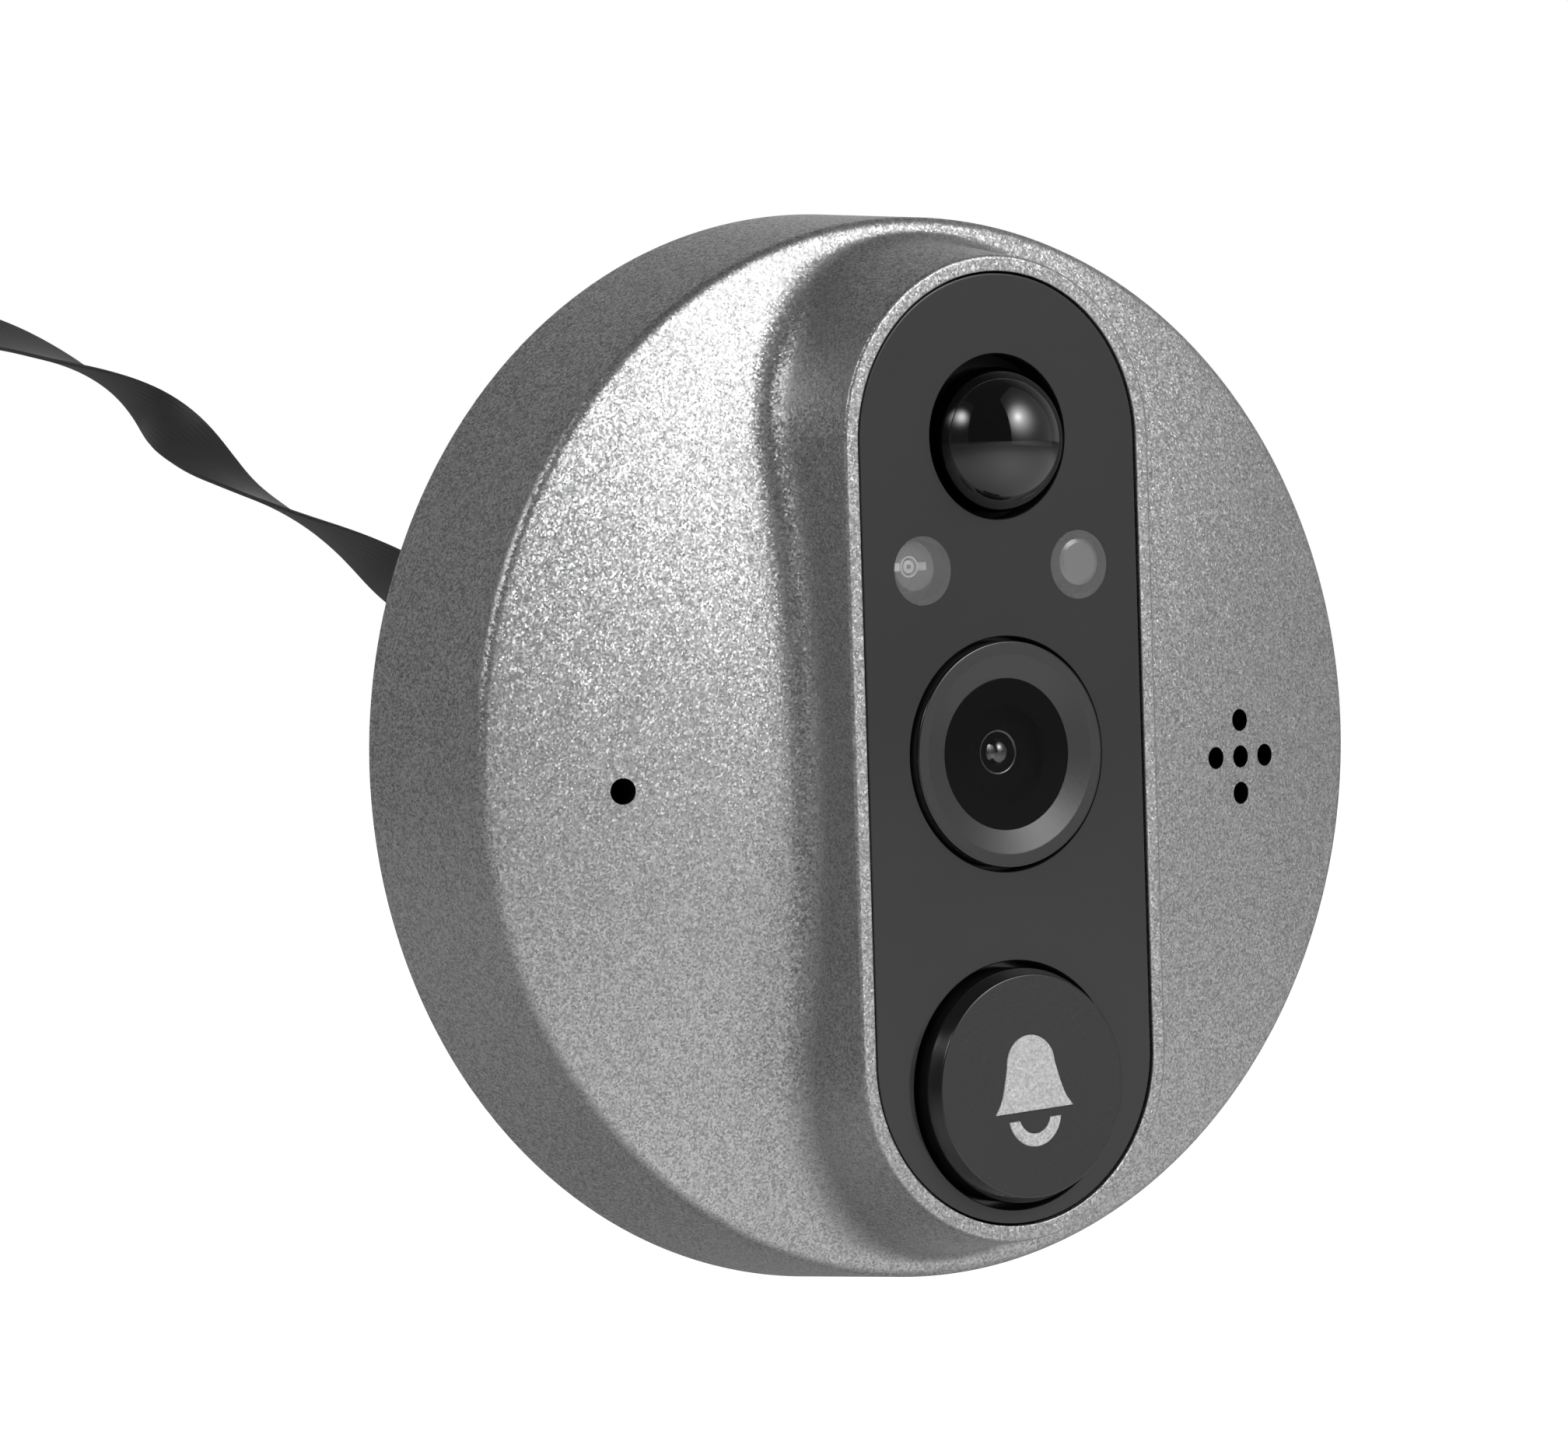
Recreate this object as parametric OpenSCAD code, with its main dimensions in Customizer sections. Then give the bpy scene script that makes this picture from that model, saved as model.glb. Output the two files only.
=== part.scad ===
// Peephole door camera, outdoor unit: a round drum with a domed face, a raised pill-shaped boss that
// frames a black panel (motion detector, infrared LED, light sensor, lens, bell button), a flat back
// that is glued and screwed to a door, and a twisted ribbon cable that goes through the door.
// Every piece is drawn lying on its back, with x to the right, y up and z out of the door, and is then
// stood upright, so that the part has +Z up and looks along -Y. All lengths are millimetres.

/* [Body] */
// Radius of the drum at the back rim
body_r = 31; // [28:0.5:35]
// How much the side wall draws in from the back rim to the front edge
side_draft = 0.5; // [0.2:0.1:1]
// Height of the front edge above the door
side_h = 11.1; // [10.6:0.1:13]
// Rise of the domed face above the front edge
dome_rise = 5; // [4:0.1:5.5]
// Thickness of the domed face
wall_t = 1.6; // [1.2:0.1:1.8]
// Chamfer that breaks the front edge and the back rim
edge_break = 0.3; // [0.2:0.05:0.4]
// Gap between the back rim and the door
rim_lift = 0.3; // [0.1:0.05:0.5]
// Thickness of the side wall round the rear cover
rim_wall = 1.6; // [1.2:0.1:2]
// Width of the ledge that the rear gasket seals on
ledge_w = 1.2; // [0.9:0.1:1.5]

/* [Boss] */
// Height of the boss rim above the front edge
boss_h = 8.3; // [7.8:0.1:9.5]
// Width of the silver rim round the panel
rim_w = 0.9; // [0.7:0.05:1.2]
// Rounding of the rim's outer edge
rim_round = 0.25; // [0.1:0.05:0.4]
// Draft angle of the boss wall in degrees
boss_draft = 8; // [5:0.5:10]
// Reach of the hollow blend from the boss wall into the dome
blend = 2; // [1.2:0.1:2.4]
// Thickness of the boss wall
boss_wall = 1.5; // [1.2:0.1:1.8]
// Thickness of the boss floor that carries the panel
floor_t = 1.2; // [1:0.1:1.5]

/* [Panel] */
// Radius of the panel's round ends
panel_r = 9.6; // [9.4:0.05:10]
// Distance from the end of the panel to the edge of the drum
panel_margin = 3.9; // [3.7:0.05:4.4]
// Thickness of the panel
panel_t = 1.5; // [1.3:0.1:1.8]
// Gap between the panel and the rim
panel_gap = 0.12; // [0.08:0.01:0.2]
// Depth of the panel's face below the rim
panel_sink = 0.1; // [0:0.05:0.2]
// Thickness of the adhesive behind the panel
adhesive_t = 0.2; // [0.15:0.05:0.3]

/* [Motion detector] */
// Height of the detector's centre above the middle of the panel's round end
pir_rise = 0.3; // [-0.2:0.1:0.6]
// Radius of its hole in the panel
pir_hole_r = 4.7; // [4.6:0.05:4.9]
// Gap between the foot of the lens dome and its hole
pir_gap = 0.55; // [0.45:0.05:0.7]
// Height of the lens dome above the panel
pir_dome_h = 3.35; // [3:0.05:3.5]
// Wall of the lens dome
pir_wall = 0.7; // [0.5:0.05:0.8]
// Radius of the sensor can
pir_can_r = 4; // [3.6:0.1:4.1]
// Height of the sensor can
pir_can_h = 3.3; // [2.8:0.1:3.4]

/* [Camera lens] */
// Height of the lens axis above the middle
lens_up = -0.3; // [-0.8:0.1:0.2]
// Outer radius of the lens bezel
bezel_r = 6.45; // [6.2:0.05:6.6]
// Gap between the bezel and the panel
bezel_gap = 0.25; // [0.15:0.05:0.35]
// Height of the bezel above the panel
bezel_proud = 0.4; // [0.2:0.05:0.6]
// Width of the bezel's flat rim
bezel_rim = 0.75; // [0.5:0.05:0.9]
// Radius of the clear opening in the bezel
iris_r = 4.33; // [4.1:0.01:4.4]
// Thickness of the cover glass
glass_t = 0.5; // [0.4:0.05:0.7]
// Radius of the lens barrel
barrel_r = 3.4; // [3.1:0.1:3.6]
// Radius of the front lens element
element_r = 1.25; // [1:0.05:1.4]
// Side of the square lens holder
holder_side = 9; // [8.6:0.1:9.4]
// Height of the lens holder
holder_h = 3.2; // [2.8:0.1:3.5]

/* [Windows] */
// Distance of the two windows from the middle line
window_side = 5.47; // [5.2:0.01:5.7]
// Distance of the windows below the detector's centre
window_drop = 7.47; // [7.2:0.01:7.7]
// Radius of a window
window_r = 1.97; // [1.9:0.01:2.1]
// Thickness of a window
window_t = 0.4; // [0.3:0.05:0.6]
// Width of the ledge that a window rests on
window_ledge = 0.15; // [0.1:0.01:0.2]
// Radius of the LED and of the light sensor
led_r = 1.4; // [1.25:0.01:1.42]
// Depth of the rim of the LED's face below the panel
led_depth = 0.8; // [0.75:0.05:1]
// Distance of the light sensor outwards from the middle of its window
sensor_out = 0.25; // [0:0.05:0.3]
// Distance of the light sensor upwards from the middle of its window
sensor_rise = 0.15; // [0:0.05:0.2]

/* [Bell button] */
// Distance of the button's centre below the middle of the panel's round end
button_drop = 1.7; // [1.5:0.05:1.8]
// Radius of the button's face
button_face_r = 6.35; // [6.1:0.05:6.5]
// Radius of the button's side wall
button_r = 6.7; // [6.6:0.02:6.8]
// Height of the button's face above the panel
button_proud = 1.6; // [1.2:0.1:2]
// Gap round the button in the panel
button_gap = 0.4; // [0.3:0.02:0.45]
// Travel of the button
button_travel = 0.5; // [0.3:0.05:0.6]
// Width over the feet of the bell symbol
bell_w = 5.6; // [4.8:0.1:6]
// Angle in degrees that the bell symbol is turned by
bell_turn = 3.6; // [-6:0.1:6]
// Side of the square push switch
switch_side = 6; // [5:0.1:6.2]
// Height of the push switch's body
switch_h = 2.6; // [2.2:0.1:2.7]

/* [Sound] */
// Distance of the microphone hole from the left edge of the drum
mic_inset = 8.6; // [8:0.1:9]
// Height of the microphone hole above the middle
mic_up = -1.5; // [-2:0.1:-1]
// Radius of the microphone hole
mic_hole_r = 0.75; // [0.5:0.05:0.9]
// Radius of the microphone capsule
mic_r = 2; // [1.8:0.05:2.1]
// Distance of the speaker's centre from the right edge of the drum
speaker_inset = 10.2; // [9.8:0.1:10.6]
// Height of the speaker above the middle
speaker_up = -1.4; // [-2:0.1:-1]
// Radius of the speaker
speaker_r = 6; // [5.5:0.1:6.2]
// Depth of the speaker's frame
speaker_h = 3; // [2.6:0.1:3.2]
// Radius of a speaker hole
speaker_hole_r = 0.65; // [0.5:0.05:0.75]
// Distance between neighbouring speaker holes
speaker_pitch = 2.13; // [1.9:0.01:2.3]

/* [Board] */
// Distance from the boss floor to the circuit board
post_h = 3.1; // [3:0.05:3.3]
// Thickness of the circuit board
board_t = 1.2; // [1:0.1:1.6]
// Radius of a post that carries the board
post_r = 1.4; // [1.2:0.05:1.5]
// Radius of a board screw's shank
board_screw_r = 0.75; // [0.6:0.05:0.8]

/* [Back] */
// Thickness of the adhesive pad
pad_t = 1; // [0.8:0.1:1.2]
// Thickness of the rear cover
cover_t = 1.8; // [1.6:0.1:2.2]
// Thickness of the rear gasket
gasket_t = 0.8; // [0.6:0.1:1]
// Distance between the two door screws
door_pitch = 12; // [11.6:0.1:13]
// Radius of the threaded hole for a door screw
door_screw_r = 1.25; // [1:0.05:1.4]
// Outer radius of a threaded insert
insert_r = 2.1; // [1.9:0.05:2.3]
// Length of a threaded insert
insert_h = 5.5; // [4.5:0.1:6]
// Distance of the cover screws from the inside of the side wall
screw_inset = 5.7; // [5:0.1:6.5]
// Radius of a cover screw's shank
screw_r = 1; // [0.8:0.05:1.1]
// Length of a cover screw's shank inside its pillar
screw_grip = 5; // [4:0.1:6]

/* [Ribbon cable] */
// Width of the ribbon
ribbon_w = 3.5; // [3:0.1:4]
// Thickness of the ribbon
ribbon_t = 0.25; // [0.15:0.05:0.35]
// Length of the stiffened tab at the far end
tab_h = 6; // [4:0.5:8]

/* [Hidden] */
$fn = 96;
// Clearance of pieces that are glued or pushed together, and of pieces that are laid in
snug = 0.03;
loose = 0.2;
// Overlap that lets one cut run past a face
past = 1;

// Levels above the door, from the boss rim down
top_z = side_h + boss_h;
face_z = top_z - panel_sink;
panel_z = face_z - panel_t;
seat_z = panel_z - adhesive_t;
floor_z = seat_z - floor_t;
board_z = floor_z - post_h;
board_back_z = board_z - board_t;
cover_z = pad_t + cover_t;
ledge_z = cover_z + gasket_t;
// Flange of the detector lens and the lens bezel, trapped under the panel
flange_t = 0.6;
flange_z = seat_z - 0.45;

// Drum and dome
edge_r = body_r - side_draft;
ball_r = (edge_r * edge_r + dome_rise * dome_rise) / (2 * dome_rise);
ball_z = side_h + dome_rise - ball_r;
bore_r = body_r - rim_wall;
inner_r = bore_r - ledge_w;
pillar_r = screw_r + 1.3;
screw_ring = inner_r - screw_inset;
// Places on the panel and on the face, as seen from the front
panel_half = body_r - panel_margin - panel_r;
pir_up = panel_half + pir_rise;
window_up = pir_up - window_drop;
button_up = -panel_half - button_drop;
mic_side = body_r - mic_inset;
speaker_side = body_r - speaker_inset;
// Radius of the boss at its rim, inside its wall, and of the recess that takes the panel
recess_r = panel_r + panel_gap;
boss_r = recess_r + rim_w;
pocket_r = boss_r - boss_wall;
// Openings in the boss floor and the panel
pir_flange_r = pir_hole_r + 0.7;
bezel_flange_r = bezel_r + 0.95;
button_hole_r = button_r + button_gap;
button_flange_r = button_hole_r + 0.35;
button_open_r = button_flange_r + loose;
window_open_r = window_r + 0.3;
window_hole_r = window_r - window_ledge;
// Board outline and its posts
board_r = pocket_r - 0.3;
post_x = pocket_r - post_r - 0.6;
post_ups = [window_up - window_r - post_r - 1, button_up + button_face_r + post_r + 2];
// Button, switch and what lies between them
seal_t = 0.5;
button_flange_t = 0.8;
touch = 0.05;
button_face_z = face_z + button_proud;
button_flange_z = panel_z - seal_t - touch - button_flange_t;
plunger_z = board_z + switch_h + 1.25;
plunger_r = 1.6;
// Sound pieces
mic_seat_z = side_h - 0.7;
boot_r = mic_r + 0.7;
boot_h = 2.8;
speaker_seat_z = side_h - 1.7;
speaker_gasket_t = 0.4;
speaker_z = speaker_seat_z - speaker_gasket_t - speaker_h;
magnet_r = speaker_r - 2.4;
magnet_h = 2.6;
magnet_z = speaker_z - 1;
speaker_seat_w = 1.4;
frame_t = 0.7;
boot_face = 1;
// Walls and room round pieces that sit in the housing, the holder and the cover
collar_t = 0.9;
can_room = 0.7;
bezel_seat = 0.45;
insert_cap = 0.8;
magnet_post_r = magnet_r - 0.8;
// Edges and walls of the bezel, the lens barrel and the button
bezel_edge = 0.15;
barrel_edge = 0.3;
element_back = 2.2;
button_slope = 0.9;
button_edge = 0.15;
button_wall = 1.1;
button_top = 1.2;
// Feet of the LED and the light sensor, the LED's round nose, and the rim of the detector's can
foot_w = 0.35;
foot_h = 1;
led_nose = 0.25;
can_rim_w = 0.5;
can_rim_h = 0.4;
// Image sensor, the pocket over it, and the window in the detector's can
chip_w = 5.6;
chip_h = 4.8;
chip_t = 0.7;
chip_pocket = chip_w + 4 * loose;
can_window_w = 4;
can_window_h = 3;
// Ribbon socket and grommet
socket_h = 4.4;
socket_w = 2.4;
socket_end = 1;
socket_grip = 3;
grommet_r = 1.7;
grommet_half = ribbon_w / 2 - 0.2;
hub_r = door_pitch / 2 + insert_r + 1.1;

// Height of the dome's outer face at a distance from the drum's axis
function dome_z(rho) = ball_z + sqrt(ball_r * ball_r - rho * rho);

// The front face is lofted round the boss: a station has a point on the boss's middle line and an outward
// direction, and its profile runs out from there over the rim, the drafted wall, the blend and the dome.
end_steps = 22;
side_steps = 12;
stations = concat(
    [for (i = [0 : end_steps - 1]) [0, panel_half, i * 180 / end_steps]],
    [for (i = [0 : side_steps - 1]) [0, panel_half * (1 - 2 * i / side_steps), 180]],
    [for (i = [0 : end_steps - 1]) [0, -panel_half, 180 + i * 180 / end_steps]],
    [for (i = [0 : side_steps - 1]) [0, -panel_half * (1 - 2 * i / side_steps), 360]]);
function out(st, s) = [st[0] + s * cos(st[2]), st[1] + s * sin(st[2])];
function dome_at(st, s) = dome_z(norm(out(st, s)));
// Foot of the drafted wall on the dome, found by walking down the wall a few times
function foot(st, s, turns = 6) =
    turns == 0 ? s : foot(st, boss_r + (top_z - dome_at(st, s)) * tan(boss_draft), turns - 1);
// Distance along a station at which the profile leaves the drum
skirt_r = body_r + 1;
function leave(st) =
    let (across = st[1] * sin(st[2]))
    -across + sqrt(across * across - st[1] * st[1] + skirt_r * skirt_r);
function edge_at(st) =
    let (across = st[1] * sin(st[2]))
    -across + sqrt(across * across - st[1] * st[1] + edge_r * edge_r);
function mix3(a, b, c, w) = (1 - w) * (1 - w) * a + 2 * w * (1 - w) * b + w * w * c;
blend_steps = 6;
dome_steps = 3;
// Profile of one station as [distance, height] pairs
function profile(st) =
    let (f = foot(st, boss_r), reach = min(blend, 0.75 * (edge_at(st) - f)), fz = dome_at(st, f),
        a = [f - blend * sin(boss_draft), fz + blend * cos(boss_draft)],
        b = [f + reach, dome_at(st, f + reach)], far = leave(st))
    concat(
        [[boss_r - rim_round, top_z], [boss_r - rim_round * 0.3, top_z - rim_round * 0.3]],
        [[boss_r + rim_round * tan(boss_draft), top_z - rim_round]],
        [for (i = [0 : blend_steps]) mix3(a, [f, fz], b, i / blend_steps)],
        [for (i = [1 : dome_steps])
            let (s = b[0] + (far - b[0]) * i / dome_steps) [s, dome_at(st, s)]],
        [[far, -past]]);

module front_loft() {
    profiles = [for (st = stations) profile(st)];
    n = len(stations);
    m = len(profiles[0]);
    skin = [for (i = [0 : n - 1]) for (p = profiles[i]) concat(out(stations[i], p[0]), p[1])];
    points = concat(skin, [[0, 0, top_z], [0, 0, -past]]);
    top = [for (i = [0 : n - 1]) [n * m, ((i + 1) % n) * m, i * m]];
    bottom = [for (i = [0 : n - 1]) [n * m + 1, i * m + m - 1, ((i + 1) % n) * m + m - 1]];
    sides = [for (i = [0 : n - 1]) for (j = [0 : m - 2])
        let (a = i * m + j, b = ((i + 1) % n) * m + j) each [[a, b, b + 1], [a, b + 1, a + 1]]];
    polyhedron(points, concat(top, bottom, sides));
}

// Drum that trims the loft to a drafted side wall with broken edges
module drum() {
    rotate_extrude() polygon([
        [0, rim_lift], [body_r - edge_break, rim_lift], [body_r, rim_lift + edge_break],
        [edge_r, side_h - edge_break], [edge_r - edge_break, side_h + edge_break],
        [edge_r - edge_break, top_z + past], [0, top_z + past]]);
}

module pill(r, half) {
    for (s = [-1, 1]) translate([0, s * half]) circle(r);
    square([2 * r, 2 * half], center = true);
}

module pill_block(r, half, z0, z1) {
    translate([0, 0, z0]) linear_extrude(z1 - z0) pill(r, half);
}

module rod(r, z0, z1, x = 0, y = 0) {
    translate([x, y, z0]) cylinder(r = r, h = z1 - z0);
}

module ring(r, hole, z0, z1, x = 0, y = 0) {
    difference() {
        rod(r, z0, z1, x, y);
        rod(hole, z0 - past, z1 + past, x, y);
    }
}

// Slice of a ball that stands on a level, with the radius of its foot and its height
module cap(r, h, z) {
    ball = (r * r + h * h) / (2 * h);
    intersection() {
        translate([0, 0, z + h - ball]) sphere(r = ball);
        rod(r, z, z + 2 * h);
    }
}

module inner_ball(shell) {
    translate([0, 0, ball_z]) sphere(r = ball_r - shell, $fn = 200);
}

module at_pillars() {
    for (a = [45 : 90 : 315]) rotate(a) translate([screw_ring, 0]) children();
}

module at_posts() {
    for (s = [-1, 1]) for (u = post_ups) translate([s * post_x, u]) children();
}

module at_door_screws() {
    for (s = [-1, 1]) translate([s * door_pitch / 2, 0]) children();
}

module at_speaker_holes() {
    for (p = [[0, 0], [1, 0], [-1, 0], [0, 1], [0, -1]])
        translate([speaker_side + p[0] * speaker_pitch, speaker_up + p[1] * speaker_pitch]) children();
}

// Stands a piece drawn on its back upright against the door
module upright() {
    rotate([90, 0, 0]) children();
}

module front_housing() {
    color([0.62, 0.62, 0.62]) upright() difference() {
        union() {
            difference() {
                intersection() {
                    front_loft();
                    drum();
                }
                rod(bore_r, rim_lift - past, ledge_z);
                intersection() {
                    rod(inner_r, ledge_z - past, top_z);
                    inner_ball(wall_t);
                }
                pill_block(pocket_r, panel_half, ledge_z, floor_z);
                pill_block(recess_r, panel_half, seat_z, top_z + past);
            }
            intersection() {
                union() {
                    at_pillars() rod(pillar_r, cover_z + touch, top_z);
                    ring(boot_r + collar_t, boot_r + touch, mic_seat_z - boot_h + 2 * loose, mic_seat_z + past,
                        -mic_side, mic_up);
                    rod(boot_r + collar_t, mic_seat_z, top_z, -mic_side, mic_up);
                    ring(speaker_r - 2 * loose, speaker_r - speaker_seat_w, speaker_seat_z, top_z,
                        speaker_side, speaker_up);
                }
                inner_ball(wall_t / 2);
            }
            at_posts() rod(post_r, board_z, floor_z + floor_t / 2);
        }
        at_pillars() rod(screw_r + snug, cover_z - past, cover_z + screw_grip + past);
        at_posts() rod(board_screw_r + snug, board_z - past, floor_z);
        rod(pir_can_r + can_room, floor_z - past, seat_z + past, 0, pir_up);
        rod(pir_flange_r + loose, flange_z, seat_z + past, 0, pir_up);
        rod(bezel_r - bezel_seat, floor_z - past, seat_z + past, 0, lens_up);
        rod(bezel_flange_r + loose, flange_z, seat_z + past, 0, lens_up);
        rod(button_open_r, floor_z - past, seat_z + past, 0, button_up);
        for (s = [-1, 1]) rod(window_open_r, floor_z - past, seat_z + past, s * window_side, window_up);
        rod(mic_hole_r, mic_seat_z - past, top_z, -mic_side, mic_up);
        at_speaker_holes() rod(speaker_hole_r, speaker_seat_z, top_z);
    }
}

module rear_cover() {
    color([0.12, 0.12, 0.13]) upright() difference() {
        union() {
            rod(bore_r - loose, pad_t, cover_z);
            rod(hub_r, 0, cover_z);
            at_door_screws() rod(insert_r + collar_t, cover_z - past, insert_h + insert_cap);
            rod(magnet_post_r, cover_z - past, magnet_z, speaker_side, speaker_up);
        }
        at_door_screws() rod(insert_r + snug, -past, insert_h + snug);
        at_pillars() rod(screw_r + loose, -past, cover_z + past);
        at_pillars() translate([0, 0, pad_t - snug])
            cylinder(r1 = 2 * screw_r + snug, r2 = screw_r, h = screw_r + snug);
        pill_block(grommet_r + snug, grommet_half, -past, cover_z + past);
    }
}

module rear_gasket() {
    color([0.08, 0.08, 0.08]) upright() ring(bore_r - loose, inner_r + touch, cover_z, ledge_z);
}

module adhesive_pad() {
    color([0.2, 0.2, 0.2]) upright() ring(inner_r - 0.4, hub_r + 0.4, 0, pad_t);
}

module cover_screws() {
    color([0.45, 0.45, 0.47]) upright() at_pillars() difference() {
        union() {
            translate([0, 0, pad_t]) cylinder(r1 = 2 * screw_r, r2 = screw_r, h = screw_r);
            rod(screw_r, pad_t + screw_r / 2, cover_z + screw_grip);
        }
        for (a = [0, 90]) rotate(a)
            translate([-screw_r, -screw_r * 0.2, pad_t - past])
                cube([2 * screw_r, screw_r * 0.4, past + screw_r / 2]);
    }
}

module threaded_inserts() {
    color([0.72, 0.56, 0.28]) upright() at_door_screws() difference() {
        rod(insert_r, 0, insert_h);
        rod(door_screw_r, -past, insert_h + past);
        translate([0, 0, insert_h * 0.45]) ring(insert_r + past, insert_r - 0.3, 0, insert_h * 0.15);
    }
}

module cable_grommet() {
    color([0.1, 0.1, 0.1]) upright() difference() {
        union() {
            pill_block(grommet_r, grommet_half, 0, cover_z + 0.8);
            pill_block(grommet_r + 0.5, grommet_half, cover_z + touch, cover_z + 0.8);
        }
        translate([-ribbon_t / 2 - snug, -ribbon_w / 2 - snug, -past])
            cube([ribbon_t + 2 * snug, ribbon_w + 2 * snug, cover_z + 2 * past + 0.8]);
    }
}

module front_panel() {
    color([0.05, 0.05, 0.055]) upright() difference() {
        pill_block(panel_r, panel_half, panel_z, face_z);
        rod(pir_hole_r, panel_z - past, face_z + past, 0, pir_up);
        rod(bezel_r + bezel_gap, panel_z - past, face_z + past, 0, lens_up);
        rod(button_hole_r, panel_z - past, face_z + past, 0, button_up);
        for (s = [-1, 1]) {
            rod(window_r + snug, face_z - window_t, face_z + past, s * window_side, window_up);
            rod(window_hole_r, panel_z - past, face_z, s * window_side, window_up);
        }
    }
}

module panel_adhesive() {
    color([0.1, 0.1, 0.1]) upright() difference() {
        pill_block(panel_r - touch, panel_half, seat_z, panel_z);
        rod(pir_flange_r + loose, seat_z - past, panel_z + past, 0, pir_up);
        rod(bezel_flange_r + loose, seat_z - past, panel_z + past, 0, lens_up);
        rod(button_open_r, seat_z - past, panel_z + past, 0, button_up);
        for (s = [-1, 1]) rod(window_open_r, seat_z - past, panel_z + past, s * window_side, window_up);
        translate([-button_open_r, button_up - 2 * panel_r, seat_z - past])
            cube([2 * button_open_r, 2 * panel_r, adhesive_t + 2 * past]);
    }
}

module window_disc(side) {
    color([0.36, 0.36, 0.37, 0.6]) upright()
        rod(window_r, face_z - window_t, face_z, side * window_side, window_up);
}

module led_window() {
    window_disc(-1);
}

module sensor_window() {
    window_disc(1);
}

module pir_lens() {
    foot_r = pir_hole_r - pir_gap;
    shell_r = (foot_r * foot_r + pir_dome_h * pir_dome_h) / (2 * pir_dome_h);
    centre_z = face_z + pir_dome_h - shell_r;
    color([0.03, 0.03, 0.03]) upright() translate([0, pir_up, 0]) difference() {
        union() {
            rod(pir_flange_r, flange_z, flange_z + flange_t);
            rod(foot_r, flange_z, face_z);
            intersection() {
                translate([0, 0, centre_z]) sphere(r = shell_r);
                rod(pir_hole_r, face_z, face_z + 2 * pir_dome_h);
            }
        }
        intersection() {
            translate([0, 0, centre_z]) sphere(r = shell_r - pir_wall);
            rod(pir_hole_r, face_z - pir_wall, face_z + 2 * pir_dome_h);
        }
        rod(sqrt(pow(shell_r - pir_wall, 2) - pow(face_z - pir_wall - centre_z, 2)),
            flange_z - past, face_z - pir_wall);
    }
}

module pir_sensor() {
    color([0.7, 0.7, 0.68]) upright() difference() {
        union() {
            rod(pir_can_r + can_rim_w, board_z, board_z + can_rim_h, 0, pir_up);
            rod(pir_can_r, board_z, board_z + pir_can_h, 0, pir_up);
        }
        translate([-can_window_w / 2, pir_up - can_window_h / 2, board_z + pir_can_h - loose])
            cube([can_window_w, can_window_h, past]);
    }
}

// The cover glass lies in a seat behind the bezel's lip, and the lens stands close behind it
glass_lap = 0.57;
glass_seat_z = face_z - 0.15;
barrel_z = glass_seat_z - glass_t - 0.15;
element_z = barrel_z - 0.2;
bulge_r = element_r * 0.6;
bulge_h = 0.25;

module lens_bezel() {
    color([0.09, 0.09, 0.09]) upright() translate([0, lens_up, 0]) rotate_extrude() polygon([
        [iris_r + glass_lap, flange_z], [bezel_flange_r, flange_z], [bezel_flange_r, flange_z + flange_t],
        [bezel_r, flange_z + flange_t], [bezel_r, face_z + bezel_proud - bezel_edge],
        [bezel_r - bezel_edge, face_z + bezel_proud], [bezel_r - bezel_rim, face_z + bezel_proud],
        [iris_r, face_z], [iris_r, glass_seat_z], [iris_r + glass_lap, glass_seat_z]]);
}

module cover_glass() {
    color([0.1, 0.1, 0.12, 0.5]) upright()
        rod(iris_r + glass_lap - snug, glass_seat_z - glass_t, glass_seat_z, 0, lens_up);
}

module lens_barrel() {
    color([0.04, 0.04, 0.04]) upright() translate([0, lens_up, 0]) difference() {
        union() {
            rod(barrel_r, board_z + 2 * chip_t, barrel_z - barrel_edge);
            translate([0, 0, barrel_z - barrel_edge])
                cylinder(r1 = barrel_r, r2 = barrel_r - barrel_edge, h = barrel_edge);
        }
        rod(element_r + snug, board_z, barrel_z + past);
        translate([0, 0, element_z])
            cylinder(r1 = element_r + snug, r2 = element_r + barrel_edge, h = barrel_z - element_z + snug);
    }
}

module lens_element() {
    color([0.35, 0.36, 0.42, 0.6]) upright() translate([0, lens_up, 0]) union() {
        rod(element_r, board_z + element_back, element_z);
        cap(bulge_r, bulge_h, element_z);
    }
}

module lens_holder() {
    color([0.06, 0.06, 0.06]) upright() translate([0, lens_up, 0]) difference() {
        union() {
            translate([-holder_side / 2, -holder_side / 2, board_z])
                cube([holder_side, holder_side, holder_h * 0.55]);
            rod(barrel_r + collar_t, board_z, board_z + holder_h);
        }
        rod(barrel_r + snug, board_z + 2 * chip_t - snug, board_z + holder_h + past);
        translate([-chip_pocket / 2, -chip_pocket / 2, board_z - past])
            cube([chip_pocket, chip_pocket, past + 2 * chip_t]);
    }
}

module image_sensor() {
    color([0.2, 0.2, 0.22]) upright() translate([-chip_w / 2, lens_up - chip_h / 2, board_z])
        cube([chip_w, chip_h, chip_t]);
}

// Bell symbol: a round crown, sides that flare to the feet, and the lower part of a ring as the clapper
bell_h = bell_w * 0.775;
bell_foot = -1.4;
crown_r = bell_w * 0.3;
clapper_gap = 0.48;
clapper_lift = 0.25;
flare_steps = 10;
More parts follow.
